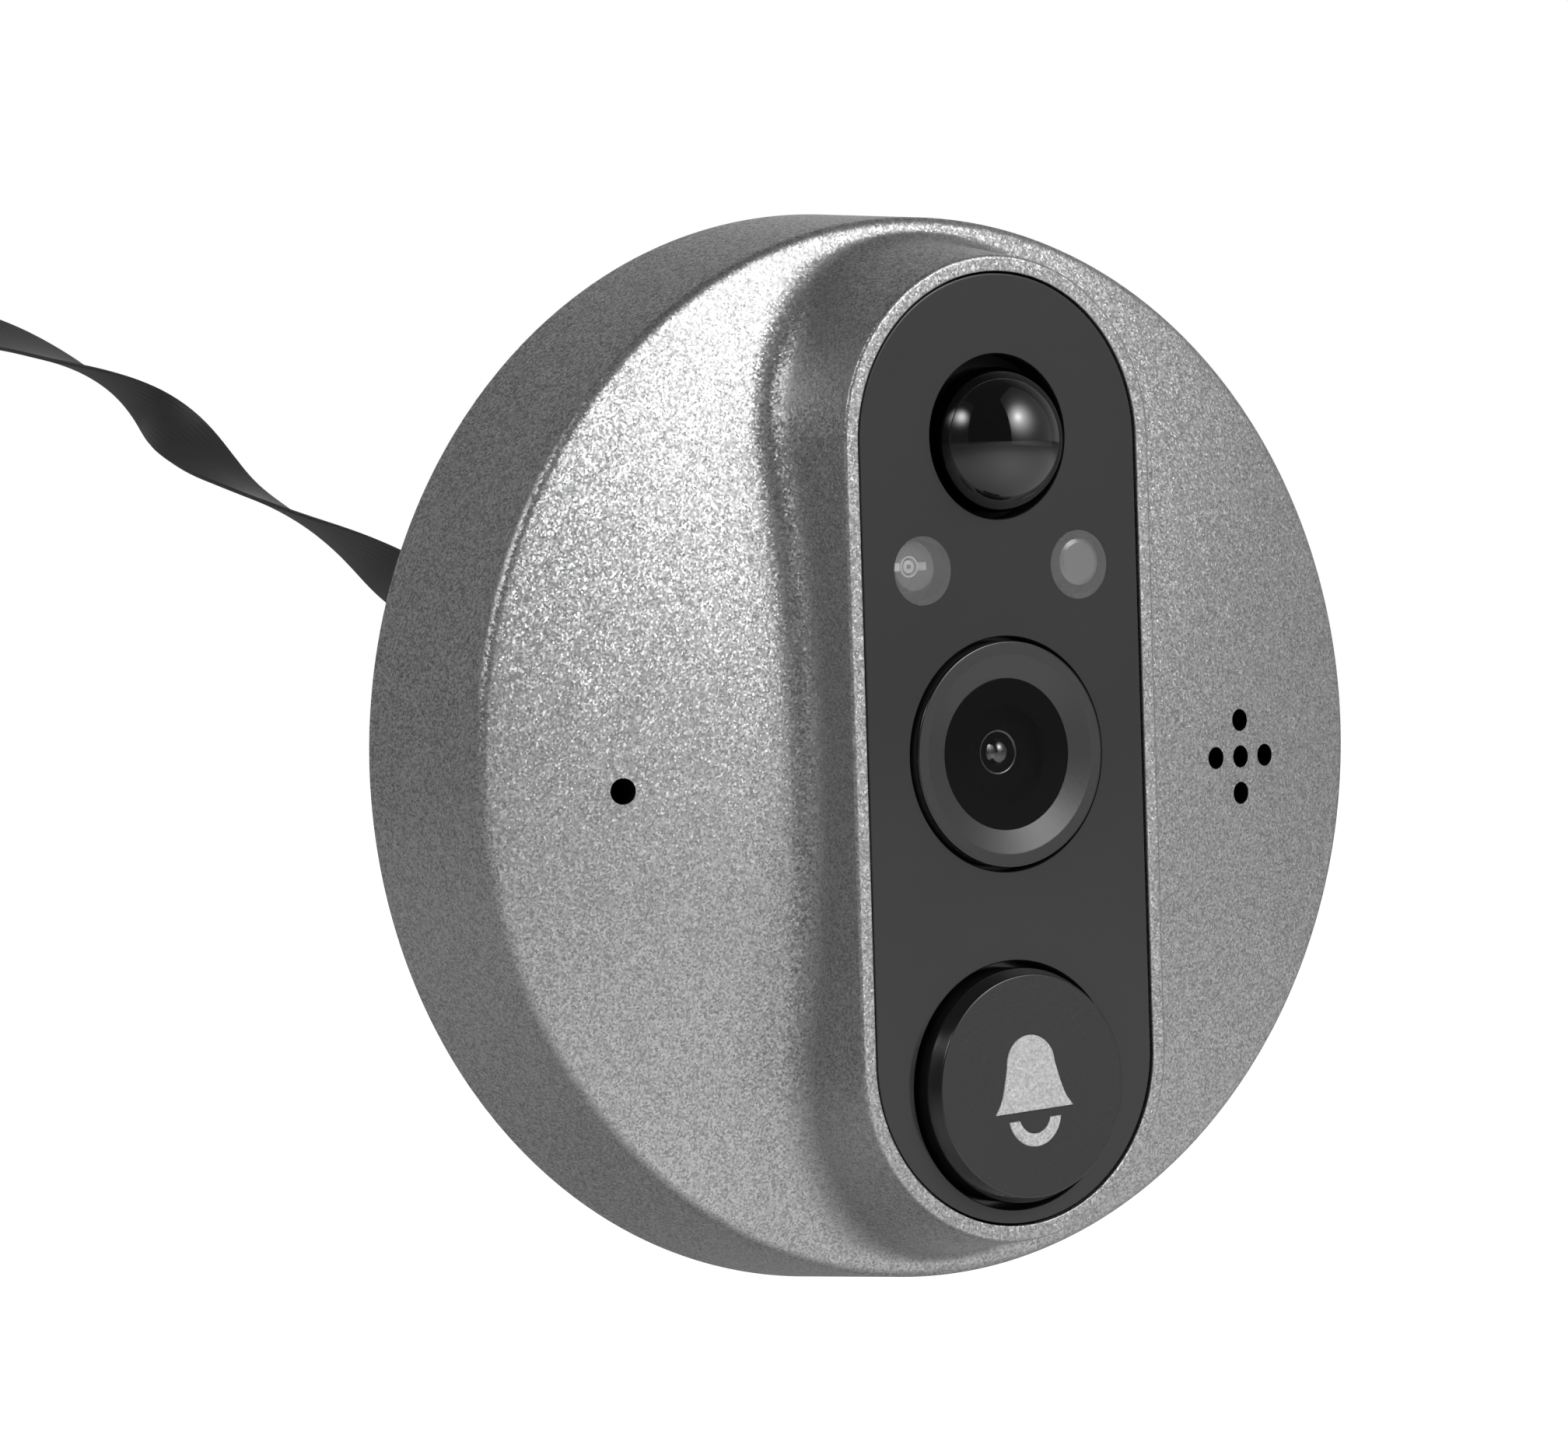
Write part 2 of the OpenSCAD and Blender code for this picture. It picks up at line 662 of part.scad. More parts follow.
// Half width of the bell at a height: a slant that flares out near the foot
function flare(h) =
    let (t = 1 - h / (bell_h - crown_r)) crown_r + (bell_w / 2 - crown_r) * (0.62 * t + 0.38 * pow(t, 5));
module bell_mark(grow) {
    shoulder = bell_h - crown_r;
    step = shoulder / flare_steps;
    side = [for (i = [0 : flare_steps]) [flare(i * step) + grow, i * step]];
    mirrored = [for (i = [flare_steps : -1 : 0]) [-side[i][0], side[i][1]]];
    rotate(bell_turn) translate([0, bell_foot]) {
        translate([0, shoulder]) circle(crown_r + grow);
        polygon(concat([[side[0][0], -grow]], side, mirrored, [[-side[0][0], -grow]]));
        translate([0, clapper_lift - clapper_gap]) difference() {
            circle(bell_w * 0.327 + grow);
            circle(bell_w * 0.193 - grow);
            translate([-bell_w / 2, grow - clapper_lift]) square(bell_w);
        }
    }
}
inlay_t = 0.3;

module bell_button() {
    color([0.16, 0.16, 0.16]) upright() translate([0, button_up, 0]) difference() {
        union() {
            rotate_extrude() polygon([
                [0, button_flange_z], [button_flange_r, button_flange_z],
                [button_flange_r, button_flange_z + button_flange_t],
                [button_r, button_flange_z + button_flange_t],
                [button_r, button_face_z - button_slope], [button_face_r, button_face_z - button_edge],
                [button_face_r - button_edge, button_face_z], [0, button_face_z]]);
        }
        ring(button_r - button_wall, plunger_r, button_flange_z - past, button_face_z - button_top);
        rod(plunger_r + past, button_flange_z - past, plunger_z + touch);
        translate([0, 0, button_face_z - inlay_t]) linear_extrude(inlay_t + past) bell_mark(snug);
    }
}

module bell_symbol() {
    color([0.78, 0.78, 0.78]) upright() translate([0, button_up, button_face_z - inlay_t])
        linear_extrude(inlay_t) bell_mark(0);
}

module button_seal() {
    color([0.15, 0.15, 0.15]) upright()
        ring(button_open_r - touch, button_hole_r, panel_z - seal_t, panel_z, 0, button_up);
}

module switch_body() {
    color([0.1, 0.1, 0.1]) upright() translate([0, button_up, 0]) difference() {
        translate([-switch_side / 2, -switch_side / 2, board_z]) cube([switch_side, switch_side, switch_h]);
        rod(plunger_r + touch, board_z + switch_h - 1.5, board_z + switch_h + past);
    }
}

module switch_plunger() {
    color([0.75, 0.72, 0.62]) upright() rod(plunger_r, plunger_z - 2.05, plunger_z, 0, button_up);
}

module ir_led() {
    rim_z = face_z - led_depth;
    color([0.85, 0.87, 0.9, 0.5]) upright() translate([-window_side, window_up, 0]) union() {
        rod(led_r + foot_w, board_z, board_z + foot_h);
        rod(led_r, board_z, rim_z);
        cap(led_r, led_nose, rim_z);
    }
}

module light_sensor() {
    color([0.55, 0.55, 0.57]) upright() union() {
        rod(led_r + foot_w, board_z, board_z + foot_h, window_side + sensor_out, window_up + sensor_rise);
        rod(led_r, board_z, face_z - window_t - touch, window_side + sensor_out, window_up + sensor_rise);
    }
}

module microphone() {
    color([0.7, 0.7, 0.7]) upright()
        rod(mic_r, mic_seat_z - boot_h + loose, mic_seat_z - boot_face, -mic_side, mic_up);
}

module mic_boot() {
    color([0.07, 0.07, 0.07]) upright() difference() {
        rod(boot_r, mic_seat_z - boot_h, mic_seat_z, -mic_side, mic_up);
        rod(mic_r + snug, mic_seat_z - boot_h - past, mic_seat_z - boot_face, -mic_side, mic_up);
        rod(mic_hole_r, mic_seat_z - boot_h, mic_seat_z + past, -mic_side, mic_up);
    }
}

module speaker_frame() {
    color([0.12, 0.12, 0.12]) upright() translate([speaker_side, speaker_up, speaker_z]) difference() {
        rod(speaker_r, 0, speaker_h);
        rod(speaker_r - frame_t, frame_t - 2 * touch, speaker_h + past);
        rod(magnet_r + snug, -past, speaker_h);
    }
}

module speaker_cone() {
    cone_z = speaker_h - 0.5;
    color([0.3, 0.3, 0.3]) upright() translate([speaker_side, speaker_up, speaker_z]) rotate_extrude() polygon([
        [0, cone_z], [magnet_r * 0.6, cone_z - 0.4], [magnet_r, cone_z - 0.3], [speaker_r - 0.75, cone_z],
        [speaker_r - 0.75, cone_z + 0.3], [magnet_r, cone_z], [magnet_r * 0.6, cone_z - 0.1], [0, cone_z + 0.3]]);
}

module speaker_magnet() {
    color([0.6, 0.6, 0.6]) upright() rod(magnet_r, magnet_z, magnet_z + magnet_h, speaker_side, speaker_up);
}

module speaker_gasket() {
    color([0.1, 0.1, 0.1]) upright()
        ring(speaker_r - 2 * touch, speaker_r - speaker_seat_w,
            speaker_seat_z - speaker_gasket_t, speaker_seat_z, speaker_side, speaker_up);
}

module circuit_board() {
    color([0.08, 0.3, 0.16]) upright() difference() {
        pill_block(board_r, panel_half - 0.3, board_back_z, board_z);
        at_posts() rod(board_screw_r + 0.1, board_back_z - past, board_z + past);
    }
}

module board_screws() {
    color([0.5, 0.5, 0.52]) upright() at_posts() difference() {
        union() {
            rod(board_screw_r * 1.9, board_back_z - 0.9, board_back_z);
            rod(board_screw_r, board_back_z - 0.5, floor_z - 0.4);
        }
        for (a = [0, 90]) rotate(a)
            translate([-board_screw_r, -board_screw_r * 0.2, board_back_z - 0.9 - past])
                cube([2 * board_screw_r, board_screw_r * 0.4, past + 0.4]);
    }
}

module ribbon_socket() {
    color([0.85, 0.82, 0.74]) upright() difference() {
        translate([-socket_w / 2, -ribbon_w / 2 - socket_end, board_back_z - socket_h])
            cube([socket_w, ribbon_w + 2 * socket_end, socket_h]);
        translate([-ribbon_t / 2 - snug, -ribbon_w / 2 - snug, board_back_z - socket_h - past])
            cube([ribbon_t + 2 * snug, ribbon_w + 2 * snug, past + socket_grip + 2 * loose]);
    }
}

module ribbon_inner() {
    color([0.1, 0.1, 0.1]) upright() translate([-ribbon_t / 2, -ribbon_w / 2, 0])
        cube([ribbon_t, ribbon_w, board_back_z - socket_h + socket_grip]);
}

// Route of the free ribbon behind the door face: distance from the door, height, and the angle that the
// ribbon has turned about its run, which stays in the plane x = 0.
route = [[0, 0, 0], [4, 0.1, -10], [10, 0.7, -60], [16, 1.8, -112], [22, 3.1, -164], [28, 4.7, -215],
    [34, 6.5, -266], [40, 8.4, -316], [46, 10.4, -362], [52, 12.4, -403], [58, 14.3, -428], [64, 16.3, -450],
    [70, 19.3, -507], [76, 21.7, -572], [82, 23.5, -611], [88, 25, -634], [94, 26.1, -654], [100, 26.8, -669],
    [108, 27.1, -682], [118, 26.4, -693], [128, 24.8, -703], [136, 22.8, -712], [144, 20.3, -720]];
ring_steps = 3;
// Smooth curve through the route's points
function along(i, w) =
    let (n = len(route) - 1, a = route[max(i - 1, 0)], b = route[i],
        c = route[min(i + 1, n)], d = route[min(i + 2, n)])
    b + w * ((c - a) / 2 + w * ((a - 2.5 * b + 2 * c - d / 2) + w * (1.5 * (b - c) + (d - a) / 2)));
function slope(i, w) =
    let (p = along(i, max(w - 0.05, 0)), q = along(i, min(w + 0.05, 1))) atan2(q[1] - p[1], q[0] - p[0]);
// Corners of the ribbon where it stands at height and distance, turned by its angle
function corners(p, lean) =
    [for (c = [[-1, -1], [1, -1], [1, 1], [-1, 1]])
        let (u = c[1] * ribbon_w / 2 * cos(p[2]) - c[0] * ribbon_t / 2 * sin(p[2]),
            v = c[1] * ribbon_w / 2 * sin(p[2]) + c[0] * ribbon_t / 2 * cos(p[2]))
        [v, p[0] - u * sin(lean), p[1] + u * cos(lean)]];
function flat_start(i, lean) = i == 0 ? 0 : lean;

module ribbon_cable() {
    spans = len(route) - 1;
    rings = concat(
        [for (i = [0 : spans - 1]) for (k = [0 : ring_steps - 1])
            corners(along(i, k / ring_steps), flat_start(i + k, slope(i, k / ring_steps)))],
        [corners(route[spans], slope(spans - 1, 1))]);
    n = len(rings);
    points = [for (r = rings) each r];
    // Both broad sides are split along the same diagonal, so that the twisted faces stay apart
    walls = [for (i = [0 : n - 2]) for (j = [0 : 3])
        let (a = i * 4 + j, b = i * 4 + (j + 1) % 4)
        each j < 2 ? [[a, b, b + 4], [a, b + 4, a + 4]] : [[a, b, a + 4], [b, b + 4, a + 4]]];
    color([0.1, 0.1, 0.1]) polyhedron(points, concat([[3, 2, 1, 0]], walls,
        [[for (j = [0 : 3]) (n - 1) * 4 + j]]));
}

module ribbon_tab() {
    last = route[len(route) - 1];
    color([0.15, 0.25, 0.6]) translate([0, last[0], last[1]]) rotate([slope(len(route) - 2, 1), 0, 0])
        translate([-ribbon_t / 2, 0, -ribbon_w / 2]) cube([ribbon_t, tab_h, ribbon_w]);
}

front_housing();
rear_cover();
rear_gasket();
adhesive_pad();
cover_screws();
threaded_inserts();
cable_grommet();
front_panel();
panel_adhesive();
led_window();
sensor_window();
pir_lens();
pir_sensor();
lens_bezel();
cover_glass();
lens_barrel();
lens_element();
lens_holder();
image_sensor();
bell_button();
bell_symbol();
button_seal();
switch_body();
switch_plunger();
ir_led();
light_sensor();
microphone();
mic_boot();
speaker_frame();
speaker_cone();
speaker_magnet();
speaker_gasket();
circuit_board();
board_screws();
ribbon_socket();
ribbon_inner();
ribbon_cable();
ribbon_tab();
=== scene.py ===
"""Looks of a peephole door camera's outdoor unit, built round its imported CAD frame.

Pieces are drawn as the CAD draws them, lying on their back: x to the right, up, and z out of the door, in
millimetres. stand() then puts them upright, in metres, with the door at y = 0 and the lens looking along -Y.
"""

import math

import bmesh
import bpy
import numpy as np
from mathutils import Matrix, Vector


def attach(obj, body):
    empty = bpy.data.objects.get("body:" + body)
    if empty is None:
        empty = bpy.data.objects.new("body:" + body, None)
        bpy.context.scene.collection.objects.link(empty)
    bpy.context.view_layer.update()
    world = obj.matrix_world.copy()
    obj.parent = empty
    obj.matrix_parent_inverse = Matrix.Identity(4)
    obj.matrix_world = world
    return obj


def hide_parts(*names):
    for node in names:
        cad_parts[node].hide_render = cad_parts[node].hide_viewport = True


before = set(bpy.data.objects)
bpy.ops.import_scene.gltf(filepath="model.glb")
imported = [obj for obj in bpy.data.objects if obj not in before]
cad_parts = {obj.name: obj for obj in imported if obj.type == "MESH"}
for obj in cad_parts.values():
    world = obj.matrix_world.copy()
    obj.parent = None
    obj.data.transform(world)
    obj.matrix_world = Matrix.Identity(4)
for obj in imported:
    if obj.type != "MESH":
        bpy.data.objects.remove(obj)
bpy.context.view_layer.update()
MM = 0.001

# Drum: sizes here and below are in millimetres, and angles in degrees
BODY_R, SIDE_DRAFT, SIDE_H, DOME_RISE, WALL_T, INNER_DROP = 31.0, 0.5, 11.1, 5.0, 1.6, 2.5
RIM_LIFT, RIM_WALL, LEDGE_W, EDGE_ROUND, RIM_EDGE, RIM_DRAFT = 0.3, 1.6, 1.2, 0.8, 0.35, 0.02

# Boss and panel, and the layers behind them
BOSS_H, RIM_W, RIM_ROUND, LIP_ROUND, BOSS_DRAFT = 8.3, 0.9, 0.25, 0.1, 8.0
BLEND, BLEND_SHARE, BOSS_WALL, FLOOR_T = 2.0, 0.75, 1.5, 1.2
PANEL_R, PANEL_HALF, PANEL_T, PANEL_GAP, PANEL_SINK, ADHESIVE_T = 9.6, 17.5, 1.5, 0.12, 0.1, 0.2
PAD_T, COVER_T, GASKET_T, POST_H = 1.0, 1.8, 0.8, 3.1

# Flanges that the panel holds down, and the clearances of pieces that touch and of pieces that fit loosely
FLANGE_T, FLANGE_SINK, PIR_FLANGE_W, BEZEL_FLANGE_W, BUTTON_FLANGE_W = 0.6, 0.45, 0.7, 0.95, 0.35
TOUCH, LOOSE = 0.05, 0.2

# Motion detector
PIR_UP, PIR_HOLE_R, PIR_GAP, PIR_DOME_H, PIR_WALL, PIR_SAG = 17.8, 4.7, 0.55, 3.35, 0.7, 0.18
PIR_CAN_R, CAN_ROOM = 4.0, 0.7

# Camera lens
LENS_UP, BEZEL_R, BEZEL_GAP, BEZEL_PROUD, BEZEL_RIM, BEZEL_WALL = -0.3, 6.45, 0.25, 0.4, 0.75, 0.45
IRIS_R, GLASS_LAP, GLASS_T, GLASS_SINK, BARREL_R, ELEMENT_R = 4.33, 0.57, 0.25, 0.15, 3.4, 1.22

# Windows, LED and light sensor
WINDOW_SIDE, WINDOW_UP, WINDOW_R, WINDOW_T, WINDOW_LEDGE = 5.47, 10.33, 1.97, 0.4, 0.15
LED_R, LED_DEPTH, LED_RISE, LED_FOOT_W, LED_FOOT_H, LED_GAP = 1.4, 0.8, 0.23, 0.35, 1.0, 0.08
SENSOR_R, SENSOR_OUT, SENSOR_RISE = 1.34, 0.4, 0.15

# Bell button
BUTTON_UP, BUTTON_FACE_R, BUTTON_R, BUTTON_PROUD, BUTTON_GAP = -19.2, 6.35, 6.7, 1.6, 0.4
SEAL_T, BUTTON_FLANGE_T, BUTTON_WALL, BUTTON_TOP, BUTTON_SLOPE = 0.5, 0.8, 1.1, 1.2, 0.9
BELL_W, BELL_TURN, BELL_FOOT, BELL_DEPTH, BELL_GAP, BELL_PROUD = 5.6, 3.6, -1.4, 0.3, 0.03, 0.03

# Sound holes
MIC_SIDE, MIC_UP, MIC_HOLE_R = 22.4, -1.5, 0.75
SPEAKER_SIDE, SPEAKER_UP, SPEAKER_HOLE_R, SPEAKER_PITCH = 20.8, -1.4, 0.65, 2.13
SOUND_DEPTH = 3.0

# Ribbon cable
RIBBON_W, RIBBON_T, TAB_H = 3.5, 0.25, 6.0

# Levels, radii and places that follow from these sizes
TOP_Z = SIDE_H + BOSS_H
FACE_Z = TOP_Z - PANEL_SINK
PANEL_Z = FACE_Z - PANEL_T
SEAT_Z = PANEL_Z - ADHESIVE_T
FLOOR_Z = SEAT_Z - FLOOR_T
FLANGE_Z = SEAT_Z - FLANGE_SINK
BOARD_Z = FLOOR_Z - POST_H
LEDGE_Z = PAD_T + COVER_T + GASKET_T
EDGE_R = BODY_R - SIDE_DRAFT
BALL_R = (EDGE_R**2 + DOME_RISE**2) / (2 * DOME_RISE)
BALL_Z = SIDE_H + DOME_RISE - BALL_R
BORE_R = BODY_R - RIM_WALL
INNER_R = BORE_R - LEDGE_W
RECESS_R = PANEL_R + PANEL_GAP
BOSS_R = RECESS_R + RIM_W
POCKET_R = BOSS_R - BOSS_WALL
PIR_FLANGE_R = PIR_HOLE_R + PIR_FLANGE_W
BEZEL_FLANGE_R = BEZEL_R + BEZEL_FLANGE_W
LED_X, LED_UP = -WINDOW_SIDE, WINDOW_UP + LED_RISE
SENSOR_X, SENSOR_UP = WINDOW_SIDE + SENSOR_OUT, WINDOW_UP + SENSOR_RISE
BUTTON_HOLE_R = BUTTON_R + BUTTON_GAP
BUTTON_FLANGE_R = BUTTON_HOLE_R + BUTTON_FLANGE_W
BUTTON_FACE_Z = FACE_Z + BUTTON_PROUD


def stand(x, up, z):
    """Points drawn lying on their back, stood upright in metres: (x, up, z) becomes (x, -z, up) / 1000."""
    return np.stack(np.broadcast_arrays(x, -np.asarray(z, float), up), axis=-1) * MM


def grid_faces(rows, columns, wrap):
    """Quads of a grid of points that is counted row by row; wrap joins the last column to the first."""
    row = np.arange(rows - 1)[:, None] * columns
    here = np.arange(columns if wrap else columns - 1)[None, :]
    after = (here + 1) % columns
    return np.stack([row + here, row + after, row + columns + after, row + columns + here], -1).reshape(-1, 4)


def make_mesh(name, shells, sharp=35.0, second=None):
    """One mesh from several grids of points, each (points, wrap). Doubles are merged, so that a row drawn
    together to a point or a line closes, and the faces are turned outwards. Edges sharper than the angle stay
    crisp. second marks the rows of faces that take the piece's second material."""
    points, faces, first = [], [], 0
    for grid, wrap in shells:
        points.append(grid.reshape(-1, 3))
        faces.append(grid_faces(grid.shape[0], grid.shape[1], wrap) + first)
        first += grid.shape[0] * grid.shape[1]
    mesh = bpy.data.meshes.new(name)
    mesh.from_pydata(np.concatenate(points).tolist(), [], np.concatenate(faces).tolist())
    if second is not None:
        marks = np.repeat(second, len(mesh.polygons) // len(second)).astype(np.int32)
        mesh.polygons.foreach_set("material_index", marks)
    tidy = bmesh.new()
    tidy.from_mesh(mesh)
    bmesh.ops.remove_doubles(tidy, verts=tidy.verts, dist=1e-6)
    bmesh.ops.dissolve_degenerate(tidy, edges=tidy.edges, dist=1e-7)
    bmesh.ops.recalc_face_normals(tidy, faces=tidy.faces)
    tidy.to_mesh(mesh)
    tidy.free()
    finish_mesh(mesh, sharp)
    return mesh


def finish_mesh(mesh, sharp):
    """Smooth shading that breaks at edges sharper than the angle in degrees."""
    mesh.shade_smooth()
    mesh.set_sharp_from_angle(angle=math.radians(sharp))


def add_piece(name, mesh, materials, body="unit", nodes=()):
    """A finished mesh as a piece of the object that rides on a body and stands for CAD nodes."""
    piece = bpy.data.objects.new(name, mesh)
    bpy.context.scene.collection.objects.link(piece)
    for material in materials if isinstance(materials, list) else [materials]:
        mesh.materials.append(material)
    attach(piece, body)
    if nodes:
        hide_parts(*nodes)
    return piece


def carve(mesh, cutter, sharp=35.0):
    """Takes a cutter's solids out of a mesh and returns what is left as a new mesh. The cut faces take the
    second material."""
    cutter.polygons.foreach_set("material_index", np.ones(len(cutter.polygons), np.int32))
    for part in (mesh, cutter):
        part.materials.append(None)
        part.materials.append(None)
    blank, tool = bpy.data.objects.new("blank", mesh), bpy.data.objects.new("tool", cutter)
    for thing in (blank, tool):
        bpy.context.scene.collection.objects.link(thing)
    cut = blank.modifiers.new("cut", "BOOLEAN")
    cut.operation, cut.solver, cut.object = "DIFFERENCE", "EXACT", tool
    carved = bpy.data.meshes.new_from_object(blank.evaluated_get(bpy.context.evaluated_depsgraph_get()))
    carved.name = mesh.name + "_carved"
    marks = np.zeros(len(carved.polygons), np.int32)
    carved.polygons.foreach_get("material_index", marks)
    carved.materials.clear()
    carved.polygons.foreach_set("material_index", marks)
    for thing in (blank, tool):
        bpy.data.objects.remove(thing)
    finish_mesh(carved, sharp)
    return carved


# Rounded corners: half angle from which a corner counts as straight, in radians; length of a long side and
# place of its support point, in tangent lengths
STRAIGHT, LONG_SIDE, SUPPORT = 1.55, 4, 1.4


def rounded(corners, steps=6):
    """A polyline through (r, z, radius) corners, each corner replaced by a curve that leaves and meets its
    two sides at the tangent length of an arc of that radius: the point at w is
    (1-w)^2 A + 2w(1-w) C + w^2 B. The support point just past each end of the curve keeps a long flat side
    flat under smooth shading."""
    corners = np.asarray(corners, float)
    line = [corners[0, :2]]
    w = np.linspace(0, 1, steps + 1)[:, None]
    for before, (r, z, radius), after in zip(corners[:-2, :2], corners[1:-1], corners[2:, :2]):
        here = np.array([r, z])
        back, on = before - here, after - here
        back, on = back / np.linalg.norm(back), on / np.linalg.norm(on)
        half = math.acos(np.clip(back @ on, -1, 1)) / 2
        if radius <= 0 or half > STRAIGHT:
            line.append(here)
            continue
        reach = radius / math.tan(half)
        curve = (1 - w) ** 2 * (here + reach * back) + 2 * w * (1 - w) * here + w**2 * (here + reach * on)
        long_back, long_on = (np.linalg.norm(side - here) > LONG_SIDE * reach for side in (before, after))
        line.extend([here + SUPPORT * reach * back] * bool(long_back))
        line.extend(curve)
        line.extend([here + SUPPORT * reach * on] * bool(long_on))
    line.append(corners[-1, :2])
    return np.array(line)


def lathe(profile, x=0.0, up=0.0, steps=128):
    """A profile of (r, z) points turned about the axis at (x, up): a shell of points for make_mesh."""
    r, z = np.asarray(profile, float).T
    angle = np.linspace(0, 2 * np.pi, steps, endpoint=False)
    return stand(x + r[:, None] * np.cos(angle), up + r[:, None] * np.sin(angle), z[:, None]), True


def turned(name, profile, x, up, steps, sharp=35.0, second=None):
    """A mesh of one profile turned about the axis at (x, up)."""
    return make_mesh(name, [lathe(profile, x, up, steps)], sharp, second)


def plug(r, z0, z1, x=0.0, up=0.0, steps=128):
    """A plain round cutter."""
    return lathe([(0, z0), (r, z0), (r, z1), (0, z1)], x, up, steps)


def bevelled(half_x, half_up, half_z, bevel):
    """A block with bevelled edges about the origin, as grids of its three coordinates. Its first and last
    rows are drawn together to a point each."""
    corner = np.array([[-1, -1], [1, -1], [1, 1], [-1, 1]])
    level = np.array([-half_z, -half_z, bevel - half_z, half_z - bevel, half_z, half_z])[:, None]
    drawn = np.array([np.inf, bevel, 0, 0, bevel, np.inf])[:, None]
    x = corner[:, 0] * np.maximum(half_x - drawn, 0)
    return x, corner[:, 1] * np.maximum(half_up - drawn, 0), level + 0 * x


def block(x, up, z, half_x, half_up, half_z, bevel):
    """A block with bevelled edges about a middle: a shell of points for make_mesh."""
    px, pu, pz = bevelled(half_x, half_up, half_z, bevel)
    return stand(x + px, up + pu, z + pz), True


def pill_stations(end_steps, side_steps):
    """Stations round a pill: the height of each one's point on the middle line, and its outward direction."""
    turn = np.linspace(0, np.pi, end_steps, endpoint=False)
    run = np.linspace(PANEL_HALF, -PANEL_HALF, side_steps, endpoint=False)
    up = np.concatenate([np.full(end_steps, PANEL_HALF), run, np.full(end_steps, -PANEL_HALF), -run])
    angle = np.concatenate([turn, np.full(side_steps, np.pi), turn + np.pi, np.full(side_steps, 2 * np.pi)])
    return up, np.cos(angle), np.sin(angle)


